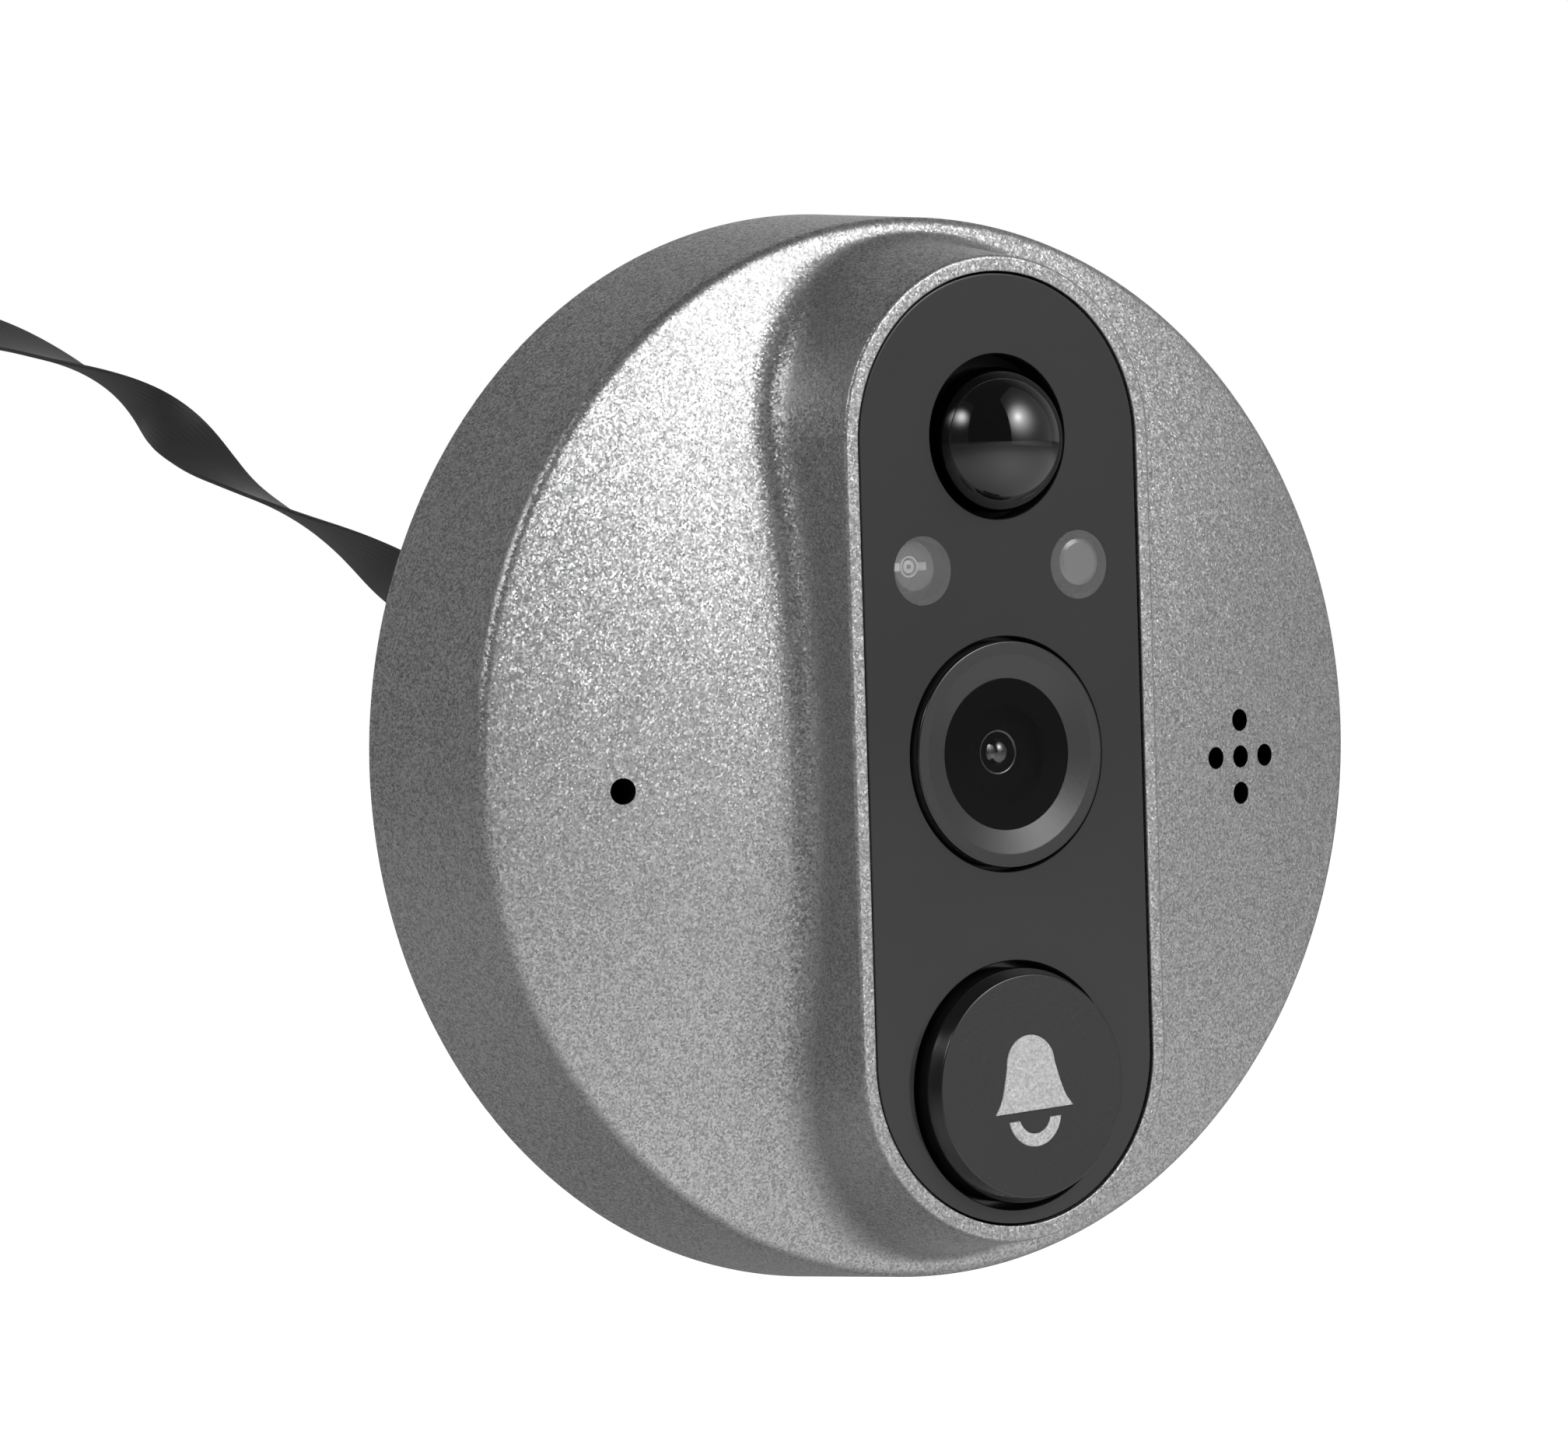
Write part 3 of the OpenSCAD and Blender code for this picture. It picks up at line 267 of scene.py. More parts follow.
def housing_mesh():
    """The silver shell. Stations run round the boss; from each one's point P on the middle line a profile
    runs out in the direction n over the panel's seat, the rim, the drafted wall, the blend and the dome, so
    that a point is P + s n at height z. The blend is the curve (1-w)^2 A + 2w(1-w) F + w^2 B, where F is the
    foot of the wall on the dome, A lies up the wall and B out on the dome. Past the dome the profile turns
    about the drum's axis: edge, side wall, rim, bore and ledge. It comes back inside along the dome, the
    pocket and the boss floor to the middle line."""
    up, across, along = pill_stations(72, 96)
    draft = math.radians(BOSS_DRAFT)

    def dome(s, shell=0.0):
        rho2 = (s * across) ** 2 + (up + s * along) ** 2
        return BALL_Z + np.sqrt((BALL_R - shell) ** 2 - rho2)

    def reach_circle(radius):
        lean = up * along
        return -lean + np.sqrt(lean**2 - up**2 + radius**2)

    flat = np.ones_like(up)
    rows = []

    def ray_rows(s, z):
        rows.extend((a * across, up + a * along, b * flat) for a, b in zip(s, z))

    # Panel seat, recess wall and rim
    ray_rows(np.outer(np.linspace(0, RECESS_R, 5), flat), np.full(5, SEAT_Z))
    lip = [(RECESS_R, SEAT_Z, 0), (RECESS_R, TOP_Z, LIP_ROUND), (BOSS_R - RIM_ROUND, TOP_Z, 0)]
    lip = rounded(lip, 5)[1:-1]
    ray_rows(np.outer(lip[:, 0], flat), lip[:, 1])
    turn = np.linspace(np.pi / 2, draft, 9)
    centre = BOSS_R + RIM_ROUND * math.tan(draft) - RIM_ROUND / math.cos(draft)
    ray_rows(np.outer(centre + RIM_ROUND * np.cos(turn), flat), TOP_Z - RIM_ROUND + RIM_ROUND * np.sin(turn))

    # Foot of the drafted wall on the dome
    foot = np.full_like(up, BOSS_R)
    for _ in range(8):
        foot = BOSS_R + (TOP_Z - dome(foot)) * math.tan(draft)
    foot_z = dome(foot)

    # Round front edge: its centre lies one radius inside the dome and the side wall
    lean = math.atan2(SIDE_DRAFT, SIDE_H - RIM_LIFT)
    edge_z = SIDE_H
    for _ in range(20):
        edge_rho = BODY_R - (edge_z - RIM_LIFT) * math.tan(lean) - EDGE_ROUND / math.cos(lean)
        edge_z = BALL_Z + math.sqrt((BALL_R - EDGE_ROUND) ** 2 - edge_rho**2)
    tip = math.atan2(edge_z - BALL_Z, edge_rho)
    last = reach_circle(edge_rho + EDGE_ROUND * math.cos(tip))

    # The blend ends sooner where the boss comes near the edge
    reach = np.minimum(BLEND, BLEND_SHARE * (last - foot))
    start, start_z = foot - BLEND * math.sin(draft), foot_z + BLEND * math.cos(draft)
    end, end_z = foot + reach, dome(foot + reach)
    top_s, top_z = centre + RIM_ROUND * math.cos(draft), TOP_Z - RIM_ROUND + RIM_ROUND * math.sin(draft)
    step = np.linspace(0, 1, 7)[1:-1, None]
    ray_rows(top_s + (start - top_s) * step, top_z + (start_z - top_z) * step)
    w = np.linspace(0, 1, 19)[:, None]
    ray_rows((1 - w) ** 2 * start + 2 * w * (1 - w) * foot + w**2 * end,
             (1 - w) ** 2 * start_z + 2 * w * (1 - w) * foot_z + w**2 * end_z)

    # Dome out to the edge
    out = end + (last - end) * np.linspace(0, 1, 31)[1:, None]
    ray_rows(out, np.array([dome(s) for s in out]))

    # Edge, side wall, rim, bore and ledge turn about the drum's axis and slide over to the inner wall's rays
    inner = reach_circle(INNER_R)
    outer_turn = np.arctan2(up + last * along, last * across)
    inner_turn = np.arctan2(up + inner * along, inner * across)
    slide = (inner_turn - outer_turn + np.pi) % (2 * np.pi) - np.pi
    angle = np.linspace(tip, lean, 9)[1:]
    drum = [(edge_rho + EDGE_ROUND * math.cos(a), edge_z + EDGE_ROUND * math.sin(a)) for a in angle]
    low = (BODY_R - RIM_DRAFT, RIM_LIFT + RIM_EDGE)
    wall = np.linspace(drum[-1], low, 9)[1:]
    rim = rounded([(*low, 0), (BODY_R, RIM_LIFT, 0.22), (BORE_R, RIM_LIFT, 0.15), (BORE_R, LEDGE_Z, 0),
                   (INNER_R, LEDGE_Z, 0), (INNER_R, SIDE_H - INNER_DROP, 0)], 5)[1:]
    outline = np.concatenate([drum, wall, rim])
    on_rim = int((rim[:, 1] < RIM_LIFT + RIM_EDGE + 0.01).sum())
    painted = len(rows) + len(drum) + len(wall) + on_rim + 1
    share = np.linspace(0, 1, len(outline) + 1)[1:]
    for (rho, z), part in zip(outline, share):
        a = outer_turn + part * slide
        rows.append((rho * np.cos(a), rho * np.sin(a), z * flat))

    # Inside of the dome, pocket and boss floor, back to the middle line
    back = inner + (POCKET_R - inner) * np.linspace(0, 1, 9)[:, None]
    ray_rows(back, np.array([dome(s, WALL_T) for s in back]))
    ray_rows(np.outer([POCKET_R, POCKET_R * 0.66, POCKET_R * 0.33, 0], flat), np.full(4, FLOOR_Z))
    grid = stand(*[np.array([row[i] for row in rows]) for i in range(3)])
    bare = np.ones(len(rows) - 1)
    bare[4:painted] = 0
    mesh = make_mesh("housing", [(grid, True)], second=bare)

    # Sound holes, and ways through the boss floor
    sound_z = SIDE_H - SOUND_DEPTH
    cutters = [plug(MIC_HOLE_R, sound_z, TOP_Z, -MIC_SIDE, MIC_UP, 40)]
    for a, b in ((0, 0), (1, 0), (-1, 0), (0, 1), (0, -1)):
        x, hole_up = SPEAKER_SIDE + a * SPEAKER_PITCH, SPEAKER_UP + b * SPEAKER_PITCH
        cutters.append(plug(SPEAKER_HOLE_R, sound_z, TOP_Z, x, hole_up, 40))
    below, above = FLOOR_Z - 1, SEAT_Z + 0.05
    for way_r, flange_r, way_up in ((PIR_CAN_R + CAN_ROOM, PIR_FLANGE_R, PIR_UP),
                                    (BEZEL_R - BEZEL_WALL, BEZEL_FLANGE_R, LENS_UP)):
        seat_r = flange_r + LOOSE
        way = [(0, below), (way_r, below), (way_r, FLANGE_Z)]
        seat = [(seat_r, FLANGE_Z), (seat_r, above), (0, above)]
        cutters.append(lathe(way + seat, 0, way_up))
    cutters += [plug(BUTTON_FLANGE_R + LOOSE, below, above, 0, BUTTON_UP),
                plug(LED_R + LED_GAP, below, above, LED_X, LED_UP, 48),
                plug(SENSOR_R + LED_GAP, below, above, SENSOR_X, SENSOR_UP, 48)]
    return carve(mesh, make_mesh("housing_cutter", cutters))


def panel_mesh():
    """The black panel: a pill plate whose profile runs from its back's middle line round a small edge radius
    to its face's middle line, with stepped and eased openings cut into it."""
    up, across, along = pill_stations(96, 24)
    profile = rounded([(0, PANEL_Z, 0), (PANEL_R, PANEL_Z, 0.06), (PANEL_R, FACE_Z, 0.1), (0, FACE_Z, 0)], 5)
    s, z = profile[:, :1], profile[:, 1:]
    mesh = make_mesh("panel", [(stand(s * across, up + s * along, z + 0 * up), True)])

    def opening(r, x, hole_up, ease, ledge=None):
        """A hole with an eased front edge, and where a ledge is given, a narrower way on behind it."""
        behind, before = PANEL_Z - 1, FACE_Z + 1
        low = [(0, behind), (r, behind)]
        if ledge:
            low = [(0, behind), (ledge[0], behind), ledge, (r, ledge[1])]
        high = [(r, FACE_Z - ease), (r + ease, FACE_Z + 1e-3), (r + ease, before), (0, before)]
        return lathe(low + high, x, hole_up)

    round_holes = ((PIR_HOLE_R, PIR_UP), (BEZEL_R + BEZEL_GAP, LENS_UP), (BUTTON_HOLE_R, BUTTON_UP))
    cutters = [opening(r, 0, hole_up, 0.06) for r, hole_up in round_holes]
    ledge = (WINDOW_R - WINDOW_LEDGE, FACE_Z - WINDOW_T)
    cutters += [opening(WINDOW_R + 0.004, side * WINDOW_SIDE, WINDOW_UP, 0.002, ledge) for side in (-1, 1)]
    return carve(mesh, make_mesh("panel_cutter", cutters))


def arc_points(radius, angles):
    """Points of a circle about the origin."""
    return radius * np.stack([np.cos(angles), np.sin(angles)], -1)


def bell_loops(grow):
    """Outlines of the bell and of its clapper on the button's face, in shares of the bell's width w. The
    bell's sides follow x = c + (w/2 - c) (0.62 t + 0.38 t^5), t = 1 - h/s, from its feet up to the shoulder
    s, where the round crown of radius c begins; the feet's tips are eased by 0.1 exp(-h/0.05)."""
    crown = BELL_W * 0.3
    shoulder = BELL_W * 0.775 - crown
    h = shoulder * np.linspace(0, 1, 24)[:-1] ** 2
    t = 1 - h / shoulder
    flare = crown + (BELL_W / 2 - crown) * (0.62 * t + 0.38 * t**5) - 0.1 * np.exp(-h / 0.05)
    top = arc_points(crown, np.linspace(0, np.pi, 33)) + (0, shoulder)
    bell = np.concatenate([np.stack([flare, h], -1), top, np.stack([-flare, h], -1)[::-1]])
    gap, lift, big, small = 0.48, 0.25, BELL_W * 0.327 + grow, BELL_W * 0.193 - grow
    ends = [math.asin((lift - grow) / r) for r in (big, small)]
    outer = np.linspace(-np.pi + ends[0], -ends[0], 33)
    inner = np.linspace(-ends[1], -np.pi + ends[1], 25)
    clapper = np.concatenate([arc_points(big, outer), arc_points(small, inner)])
    bell = inset(bell, -grow)
    turn = math.radians(BELL_TURN)
    spin = np.array([[math.cos(turn), math.sin(turn)], [-math.sin(turn), math.cos(turn)]])
    return [(loop + (0, BELL_FOOT + drop)) @ spin for loop, drop in ((bell, 0.0), (clapper, lift - gap))]


def inset(loop, depth):
    """A loop of points, counter-clockwise, drawn inwards by a depth along the mean of each point's two side
    normals."""
    side = np.roll(loop, -1, 0) - loop
    normal = np.stack([side[:, 1], -side[:, 0]], -1) / np.linalg.norm(side, axis=1, keepdims=True)
    mean = normal + np.roll(normal, 1, 0)
    return loop - depth * mean / np.maximum((mean**2).sum(1, keepdims=True) / 2, 0.5)


def slab_mesh(name, loops, up, z0, z1, bevel):
    """Flat blocks with bevelled front edges, raised from outlines."""
    points, faces, first = [], [], 0
    for loop in loops:
        n = len(loop)
        for flat, z in ((loop, z0), (loop, z1 - bevel), (inset(loop, bevel), z1)):
            points.append(stand(flat[:, 0], flat[:, 1] + up, np.full(n, z)))
        faces += (grid_faces(3, n, True) + first).tolist()
        faces += [list(range(first + n - 1, first - 1, -1)), list(range(first + 2 * n, first + 3 * n))]
        first += 3 * n
    mesh = bpy.data.meshes.new(name)
    mesh.from_pydata(np.concatenate(points).tolist(), [], faces)
    finish_mesh(mesh, 35)
    return mesh


# Camera and ribbon cable

def make_camera():
    """The photograph's camera, in the object's frame: place in millimetres, and directions of its picture's
    right and up sides and of its sight line. Its focal length is in pixels of the photograph's width."""
    photo_w, focal, sensor = 2016, 14341.48, 36.0
    place = Vector((-371.116, -534.84, 21.167)) * MM
    right = Vector((0.822148, -0.568492, -0.029833))
    up = Vector((0.041523, 0.00762, 0.999108))
    sight = Vector((0.567758, 0.822654, -0.029871))
    camera = bpy.data.objects.new("camera", bpy.data.cameras.new("camera"))
    camera.data.sensor_width = sensor
    camera.data.lens = sensor * focal / photo_w
    camera.data.clip_start, camera.data.clip_end = 0.05, 20
    turn = Matrix((right, up, -sight)).transposed()
    camera.matrix_world = Matrix.Translation(place) @ turn.to_4x4()
    bpy.context.scene.collection.objects.link(camera)
    bpy.context.scene.camera = camera


# Route of the free ribbon: distance from the door, height, and angle that it has turned about its run
RIBBON_ROUTE = np.array([
    [0, 0, 0], [4, 0.1, -10], [10, 0.7, -60], [16, 1.8, -112], [22, 3.1, -164], [28, 4.7, -215],
    [34, 6.5, -266], [40, 8.4, -316], [46, 10.4, -362], [52, 12.4, -403], [58, 14.3, -428], [64, 16.3, -450],
    [70, 19.3, -507], [76, 21.7, -572], [82, 23.5, -611], [88, 25, -634], [94, 26.1, -654], [100, 26.8, -669],
    [108, 27.1, -682], [118, 26.4, -693], [128, 24.8, -703], [136, 22.8, -712], [144, 20.3, -720]])


def smooth_route(points, steps):
    """A smooth curve through points: between b and c, with neighbours a and d, the point at w is
    b + w((c-a)/2 + w((a - 2.5b + 2c - d/2) + w(1.5(b-c) + (d-a)/2)))."""
    padded = np.concatenate([points[:1], points, points[-1:]])
    a, b, c, d = (padded[i:len(padded) - 3 + i, None] for i in range(4))
    w = np.linspace(0, 1, steps, endpoint=False)[None, :, None]
    curve = b + w * ((c - a) / 2 + w * ((a - 2.5 * b + 2 * c - d / 2) + w * (1.5 * (b - c) + (d - a) / 2)))
    return np.concatenate([curve.reshape(-1, points.shape[1]), points[-1:]])


def ribbon_mesh():
    """The twisted ribbon: a flat section carried along the route. At x across, from -1 to 1, its half
    thickness is T/2 (0.9 + 0.1 cos^2(6 pi (x + 1))), a low ridge over each conductor, and its edges are
    rounded off over the outer 0.035. A section point (t, w) across the thickness and the width is turned by
    the route's angle about the run: v = w sin + t cos to the side, u = w cos - t sin across the run, in the
    plane of the route."""
    line = smooth_route(RIBBON_ROUTE, 10)
    lean = np.arctan2(np.gradient(line[:, 1]), np.gradient(line[:, 0]))
    lean[0] = 0.0
    across, edge = np.linspace(-1, 1, 61), 0.035
    ridge = 0.90 + 0.10 * np.cos(np.pi * 6 * (across + 1)) ** 2
    past = np.clip((np.abs(across) - (1 - edge)) / edge, 0, 1)
    ends = np.sqrt(np.clip(1 - past**2, 0, 1))
    thick = RIBBON_T / 2 * ridge * ends
    t = np.concatenate([thick, -thick[-2:0:-1]])
    w = np.concatenate([across, across[-2:0:-1]]) * RIBBON_W / 2
    turn = np.radians(line[:, 2:3])
    u = w * np.cos(turn) - t * np.sin(turn)
    v = w * np.sin(turn) + t * np.cos(turn)
    y, z = line[:, :1] - u * np.sin(lean)[:, None], line[:, 1:2] + u * np.cos(lean)[:, None]
    points = np.stack([v, y, z], -1) * MM
    cap = np.broadcast_to(points.mean(1, keepdims=True)[[0, -1]], (2,) + points.shape[1:])
    grid = np.concatenate([cap[:1], points, cap[1:]])
    mesh = make_mesh("ribbon", [(grid, True)], 50)
    centre = np.stack([0 * line[:, 0], line[:, 0], line[:, 1]], -1) * MM
    return mesh, centre


def tab_mesh():
    """The stiff tab at the ribbon's end: a bevelled block that goes on along the ribbon's last run."""
    end, before = RIBBON_ROUTE[-1, :2], smooth_route(RIBBON_ROUTE, 10)[-2, :2]
    run = (end - before) / np.linalg.norm(end - before)
    x, rise, along = bevelled(RIBBON_T / 2, RIBBON_W / 2, TAB_H / 2, 0.03)
    along = along + TAB_H / 2
    y, z = end[0] + run[0] * along - run[1] * rise, end[1] + run[1] * along + run[0] * rise
    return make_mesh("tab", [(np.stack([x, y, z], -1) * MM, True)])


# Materials

MATH, VECTOR_MATH = "ShaderNodeMath", "ShaderNodeVectorMath"


def operators(nodes, kind, *operations):
    """One Math or Vector Math node for each operation."""
    made = [nodes.new(kind) for _ in operations]
    for node, operation in zip(made, operations):
        node.operation = operation
    return made


def new_group(name, inputs, outputs):
    """A node group with plain number inputs and their values, and outputs of the kinds given."""
    group = bpy.data.node_groups.new(name, "ShaderNodeTree")
    for socket, value in inputs.items():
        given = group.interface.new_socket(socket, in_out="INPUT", socket_type="NodeSocketFloat")
        given.default_value = value
    for socket, kind in outputs.items():
        group.interface.new_socket(socket, in_out="OUTPUT", socket_type="NodeSocket" + kind)
    return group, group.nodes, group.links


def noise_group():
    """Fine surface grain shared by the plastics: a height for a bump, and a mask that varies from 0 to 1."""
    group, nodes, links = new_group("fine_grain", {"Scale": 4000, "Mottle Scale": 90},
                                    {"Height": "Float", "Mottle": "Float"})
    given, made = nodes.new("NodeGroupInput"), nodes.new("NodeGroupOutput")
    place = nodes.new("ShaderNodeTexCoord")
    for socket, detail, result in (("Scale", 2, "Height"), ("Mottle Scale", 4, "Mottle")):
        texture = nodes.new("ShaderNodeTexNoise")
        texture.inputs["Detail"].default_value = detail
        links.new(place.outputs["Object"], texture.inputs["Vector"])
        links.new(given.outputs[socket], texture.inputs["Scale"])
        links.new(texture.outputs["Fac"], made.inputs[result])
    return group


def flake_group():
    """Metal flakes in paint: every small cell has its own brightness and its own tilt of the normal."""
    group, nodes, links = new_group("paint_flake", {"Scale": 6000, "Tilt": 0.3},
                                    {"Shade": "Float", "Normal": "Vector"})
    given, made = nodes.new("NodeGroupInput"), nodes.new("NodeGroupOutput")
    place, shape = nodes.new("ShaderNodeTexCoord"), nodes.new("ShaderNodeNewGeometry")
    cells = nodes.new("ShaderNodeTexVoronoi")
    links.new(place.outputs["Object"], cells.inputs["Vector"])
    links.new(given.outputs["Scale"], cells.inputs["Scale"])
    centred, tilted, added, unit = operators(nodes, VECTOR_MATH, "SUBTRACT", "SCALE", "ADD", "NORMALIZE")
    links.new(cells.outputs["Color"], centred.inputs[0])
    centred.inputs[1].default_value = (0.5, 0.5, 0.5)
    links.new(centred.outputs["Vector"], tilted.inputs[0])
    links.new(given.outputs["Tilt"], tilted.inputs["Scale"])
    links.new(shape.outputs["Normal"], added.inputs[0])
    links.new(tilted.outputs["Vector"], added.inputs[1])
    links.new(added.outputs["Vector"], unit.inputs[0])
    links.new(unit.outputs["Vector"], made.inputs["Normal"])
    split = nodes.new("ShaderNodeSeparateColor")
    links.new(cells.outputs["Color"], split.inputs["Color"])
    links.new(split.outputs["Green"], made.inputs["Shade"])
    return group


FINE_GRAIN, PAINT_FLAKE = noise_group(), flake_group()


def group_node(nodes, group, **values):
    """A node that uses a group, with plain values for its inputs."""
    node = nodes.new("ShaderNodeGroup")
    node.node_tree = group
    for socket, value in values.items():
        node.inputs[socket].default_value = value
    return node


def rgb(color):
    """A colour as three values; a single number is a grey."""
    return tuple(color) if hasattr(color, "__len__") else (color,) * 3


def blank_material(name, color, roughness, metallic=0.0, specular=0.5, **extra):
    """A material with a Principled shader and its plain values."""
    material = bpy.data.materials.new(name)
    material.use_nodes = True
    shader = material.node_tree.nodes["Principled BSDF"]
    shader.inputs["Base Color"].default_value = (*rgb(color), 1)
    shader.inputs["Roughness"].default_value = roughness
    shader.inputs["Metallic"].default_value = metallic
    shader.inputs["Specular IOR Level"].default_value = specular
    for socket, value in extra.items():
        shader.inputs[socket].default_value = value
    return material, material.node_tree.nodes, material.node_tree.links, shader


def bare_material(name):
    """A material that has no shader yet."""
    material = bpy.data.materials.new(name)
    material.use_nodes = True
    nodes = material.node_tree.nodes
    nodes.remove(nodes["Principled BSDF"])
    return material, nodes, material.node_tree.links


def ramp(nodes, links, source, low, high, start=0.0, end=1.0):
    """A value from low to high as the source goes from start to end."""
    node = nodes.new("ShaderNodeMapRange")
    node.inputs["From Min"].default_value, node.inputs["From Max"].default_value = start, end
    node.inputs["To Min"].default_value, node.inputs["To Max"].default_value = low, high
    links.new(source, node.inputs["Value"])
    return node.outputs["Result"]


def tint(nodes, links, source, dark, light):
    """A grey or coloured mix between two colours by a value."""
    node = nodes.new("ShaderNodeMix")
    node.data_type = "RGBA"
    for socket, color in ((node.inputs["A"], dark), (node.inputs["B"], light)):
        socket.default_value = (*rgb(color), 1)
    links.new(source, node.inputs["Factor"])
    return node.outputs["Result"]


def on_front(nodes, links, value):
    """A value on faces seen from the front, and 0 on faces seen from behind."""
    return ramp(nodes, links, nodes.new("ShaderNodeNewGeometry").outputs["Backfacing"], value, 0.0)


def mottled_gloss(nodes, links, shader, grain, roughness, least, most):
    """Roughness that follows the grain's mottle between two shares of its plain value."""
    uneven = ramp(nodes, links, grain.outputs["Mottle"], roughness * least, roughness * most)
    links.new(uneven, shader.inputs["Roughness"])


def mix_shaders(nodes, links, factor, first, second):
    """A node that mixes the shaders of two nodes by a factor."""
    node = nodes.new("ShaderNodeMixShader")
    links.new(factor, node.inputs["Fac"])
    links.new(first.outputs[0], node.inputs[1])
    links.new(second.outputs[0], node.inputs[2])
    return node


def flake_paint(name, metallic, dark, light, roughness, scale, tilt):
    """Satin paint or ink with metal flakes, over moulded plastic."""
    material, nodes, links, shader = blank_material(name, light, roughness, metallic)
    flake = group_node(nodes, PAINT_FLAKE, Scale=scale, Tilt=tilt)
    links.new(tint(nodes, links, flake.outputs["Shade"], dark, light), shader.inputs["Base Color"])
    mottled_gloss(nodes, links, shader, group_node(nodes, FINE_GRAIN), roughness, 0.95, 1.05)
    links.new(flake.outputs["Normal"], shader.inputs["Normal"])
    return material


def masked_glass(clear_r, printed_r, share):
    """Cover glass with a black print on its back that leaves a clear circle in front of the lens, and a thin
    mirror reflection all over. The print fades in between two radii in millimetres."""
    material, nodes, links = bare_material("cover_glass")
    place = nodes.new("ShaderNodeTexCoord")
    middle, flat, reach = operators(nodes, VECTOR_MATH, "SUBTRACT", "MULTIPLY", "LENGTH")
    middle.inputs[1].default_value = (0, 0, LENS_UP * MM)
    flat.inputs[1].default_value = (1, 0, 1)
    links.new(place.outputs["Object"], middle.inputs[0])
    links.new(middle.outputs["Vector"], flat.inputs[0])
    links.new(flat.outputs["Vector"], reach.inputs[0])
    kinds = ("Transparent", "Diffuse", "Glossy")
    clear, black, mirror = (nodes.new("ShaderNodeBsdf" + kind) for kind in kinds)
    black.inputs["Color"].default_value = (0.003, 0.003, 0.003, 1)
    mirror.inputs["Roughness"].default_value = 0.03
    mask = ramp(nodes, links, reach.outputs["Value"], 0, 1, clear_r * MM, printed_r * MM)
    printed = mix_shaders(nodes, links, mask, clear, black)
    coated = mix_shaders(nodes, links, on_front(nodes, links, share), printed, mirror)
    links.new(coated.outputs["Shader"], nodes["Material Output"].inputs["Surface"])
    return material


def clear_coat(name, weight, roughness=0.03):
    """Clear glass or resin, seen through, with a share of mirror reflection on its front faces."""
    material, nodes, links = bare_material(name)
    clear, mirror = (nodes.new("ShaderNodeBsdf" + kind) for kind in ("Transparent", "Glossy"))
    mirror.inputs["Roughness"].default_value = roughness
    edge = nodes.new("ShaderNodeLayerWeight")
    edge.inputs["Blend"].default_value = 0.25
    grain = group_node(nodes, FINE_GRAIN)
    total, front = operators(nodes, MATH, "ADD", "MULTIPLY")
    total.use_clamp = True
    links.new(edge.outputs["Fresnel"], total.inputs[0])
    links.new(ramp(nodes, links, grain.outputs["Mottle"], weight * 0.9, weight * 1.1), total.inputs[1])
    links.new(total.outputs["Value"], front.inputs[0])
    links.new(on_front(nodes, links, 1.0), front.inputs[1])
    coated = mix_shaders(nodes, links, front.outputs["Value"], clear, mirror)
    links.new(coated.outputs["Shader"], nodes["Material Output"].inputs["Surface"])
    return material


def plastic(name, color, roughness, bump=0.05, specular=0.5, scale=4000, **extra):
    """Moulded plastic or rubber with fine grain, and a faint mottle in its colour and gloss."""
    material, nodes, links, shader = blank_material(name, color, roughness, 0.0, specular, **extra)
    grain = group_node(nodes, FINE_GRAIN, Scale=scale)
    color = np.array(rgb(color))
    mottle = tint(nodes, links, grain.outputs["Mottle"], color * 0.88, color * 1.12)
    links.new(mottle, shader.inputs["Base Color"])
    mottled_gloss(nodes, links, shader, grain, roughness, 0.9, 1.1)
    dent = nodes.new("ShaderNodeBump")
    dent.inputs["Strength"].default_value = bump
    dent.inputs["Distance"].default_value = 0.2 * MM
    links.new(grain.outputs["Height"], dent.inputs["Height"])
    links.new(dent.outputs["Normal"], shader.inputs["Normal"])
    if "Alpha" in extra:
        links.new(on_front(nodes, links, extra["Alpha"]), shader.inputs["Alpha"])
    return material


def metal(name, color, roughness):
    """Plain metal with a faint mottle in its gloss."""
    material, nodes, links, shader = blank_material(name, color, roughness, 1.0)
    mottled_gloss(nodes, links, shader, group_node(nodes, FINE_GRAIN), roughness, 0.8, 1.25)
    return material


PAINT = flake_paint("silver_paint", 0.9, 0.28, 0.64, 0.41, 9000, 0.28)
BARE_PLASTIC = plastic("bare_plastic", 0.004, 0.6, 0.1, 0.2)
PANEL_BLACK = plastic("panel_black", 0.048, 0.06, 0.0)
GLOSS_BLACK = plastic("gloss_black", 0.001, 0.05, 0.0, 0.9)
BEZEL_BLACK = plastic("bezel_black", 0.036, 0.33, 0.03, 0.65)
BARREL_BLACK = plastic("barrel_black", 0.002, 0.8, 0.03, 0.02)
RING_BLACK = plastic("ring_black", 0.01, 0.15, 0.0, 1.0)
BUTTON_BLACK = plastic("button_black", 0.032, 0.45, 0.16)
SIDE_BLACK = plastic("side_black", 0.012, 0.16, 0.0, 0.8)
CASE_BLACK = plastic("case_black", 0.025, 0.5, 0.12)
SEAL_RUBBER = plastic("seal_rubber", 0.02, 0.65, 0.1, 0.3)
PAD_FOAM = plastic("pad_foam", 0.04, 0.85, 0.6, 0.2, 1500)
RIBBON_FILM = plastic("ribbon_film", 0.043, 0.42, 0.05)
TAB_FILM = plastic("tab_film", (0.03, 0.08, 0.3), 0.4, 0.05)
IVORY = plastic("ivory_plastic", (0.7, 0.66, 0.55), 0.45, 0.05)
BOARD_MASK = plastic("board_mask", (0.02, 0.14, 0.06), 0.3, 0.08)
SENSOR_RESIN = plastic("sensor_resin", 0.2, 0.16, 0.0, 1.0)
CONE_FILM = plastic("cone_film", 0.05, 0.3, 0.02)
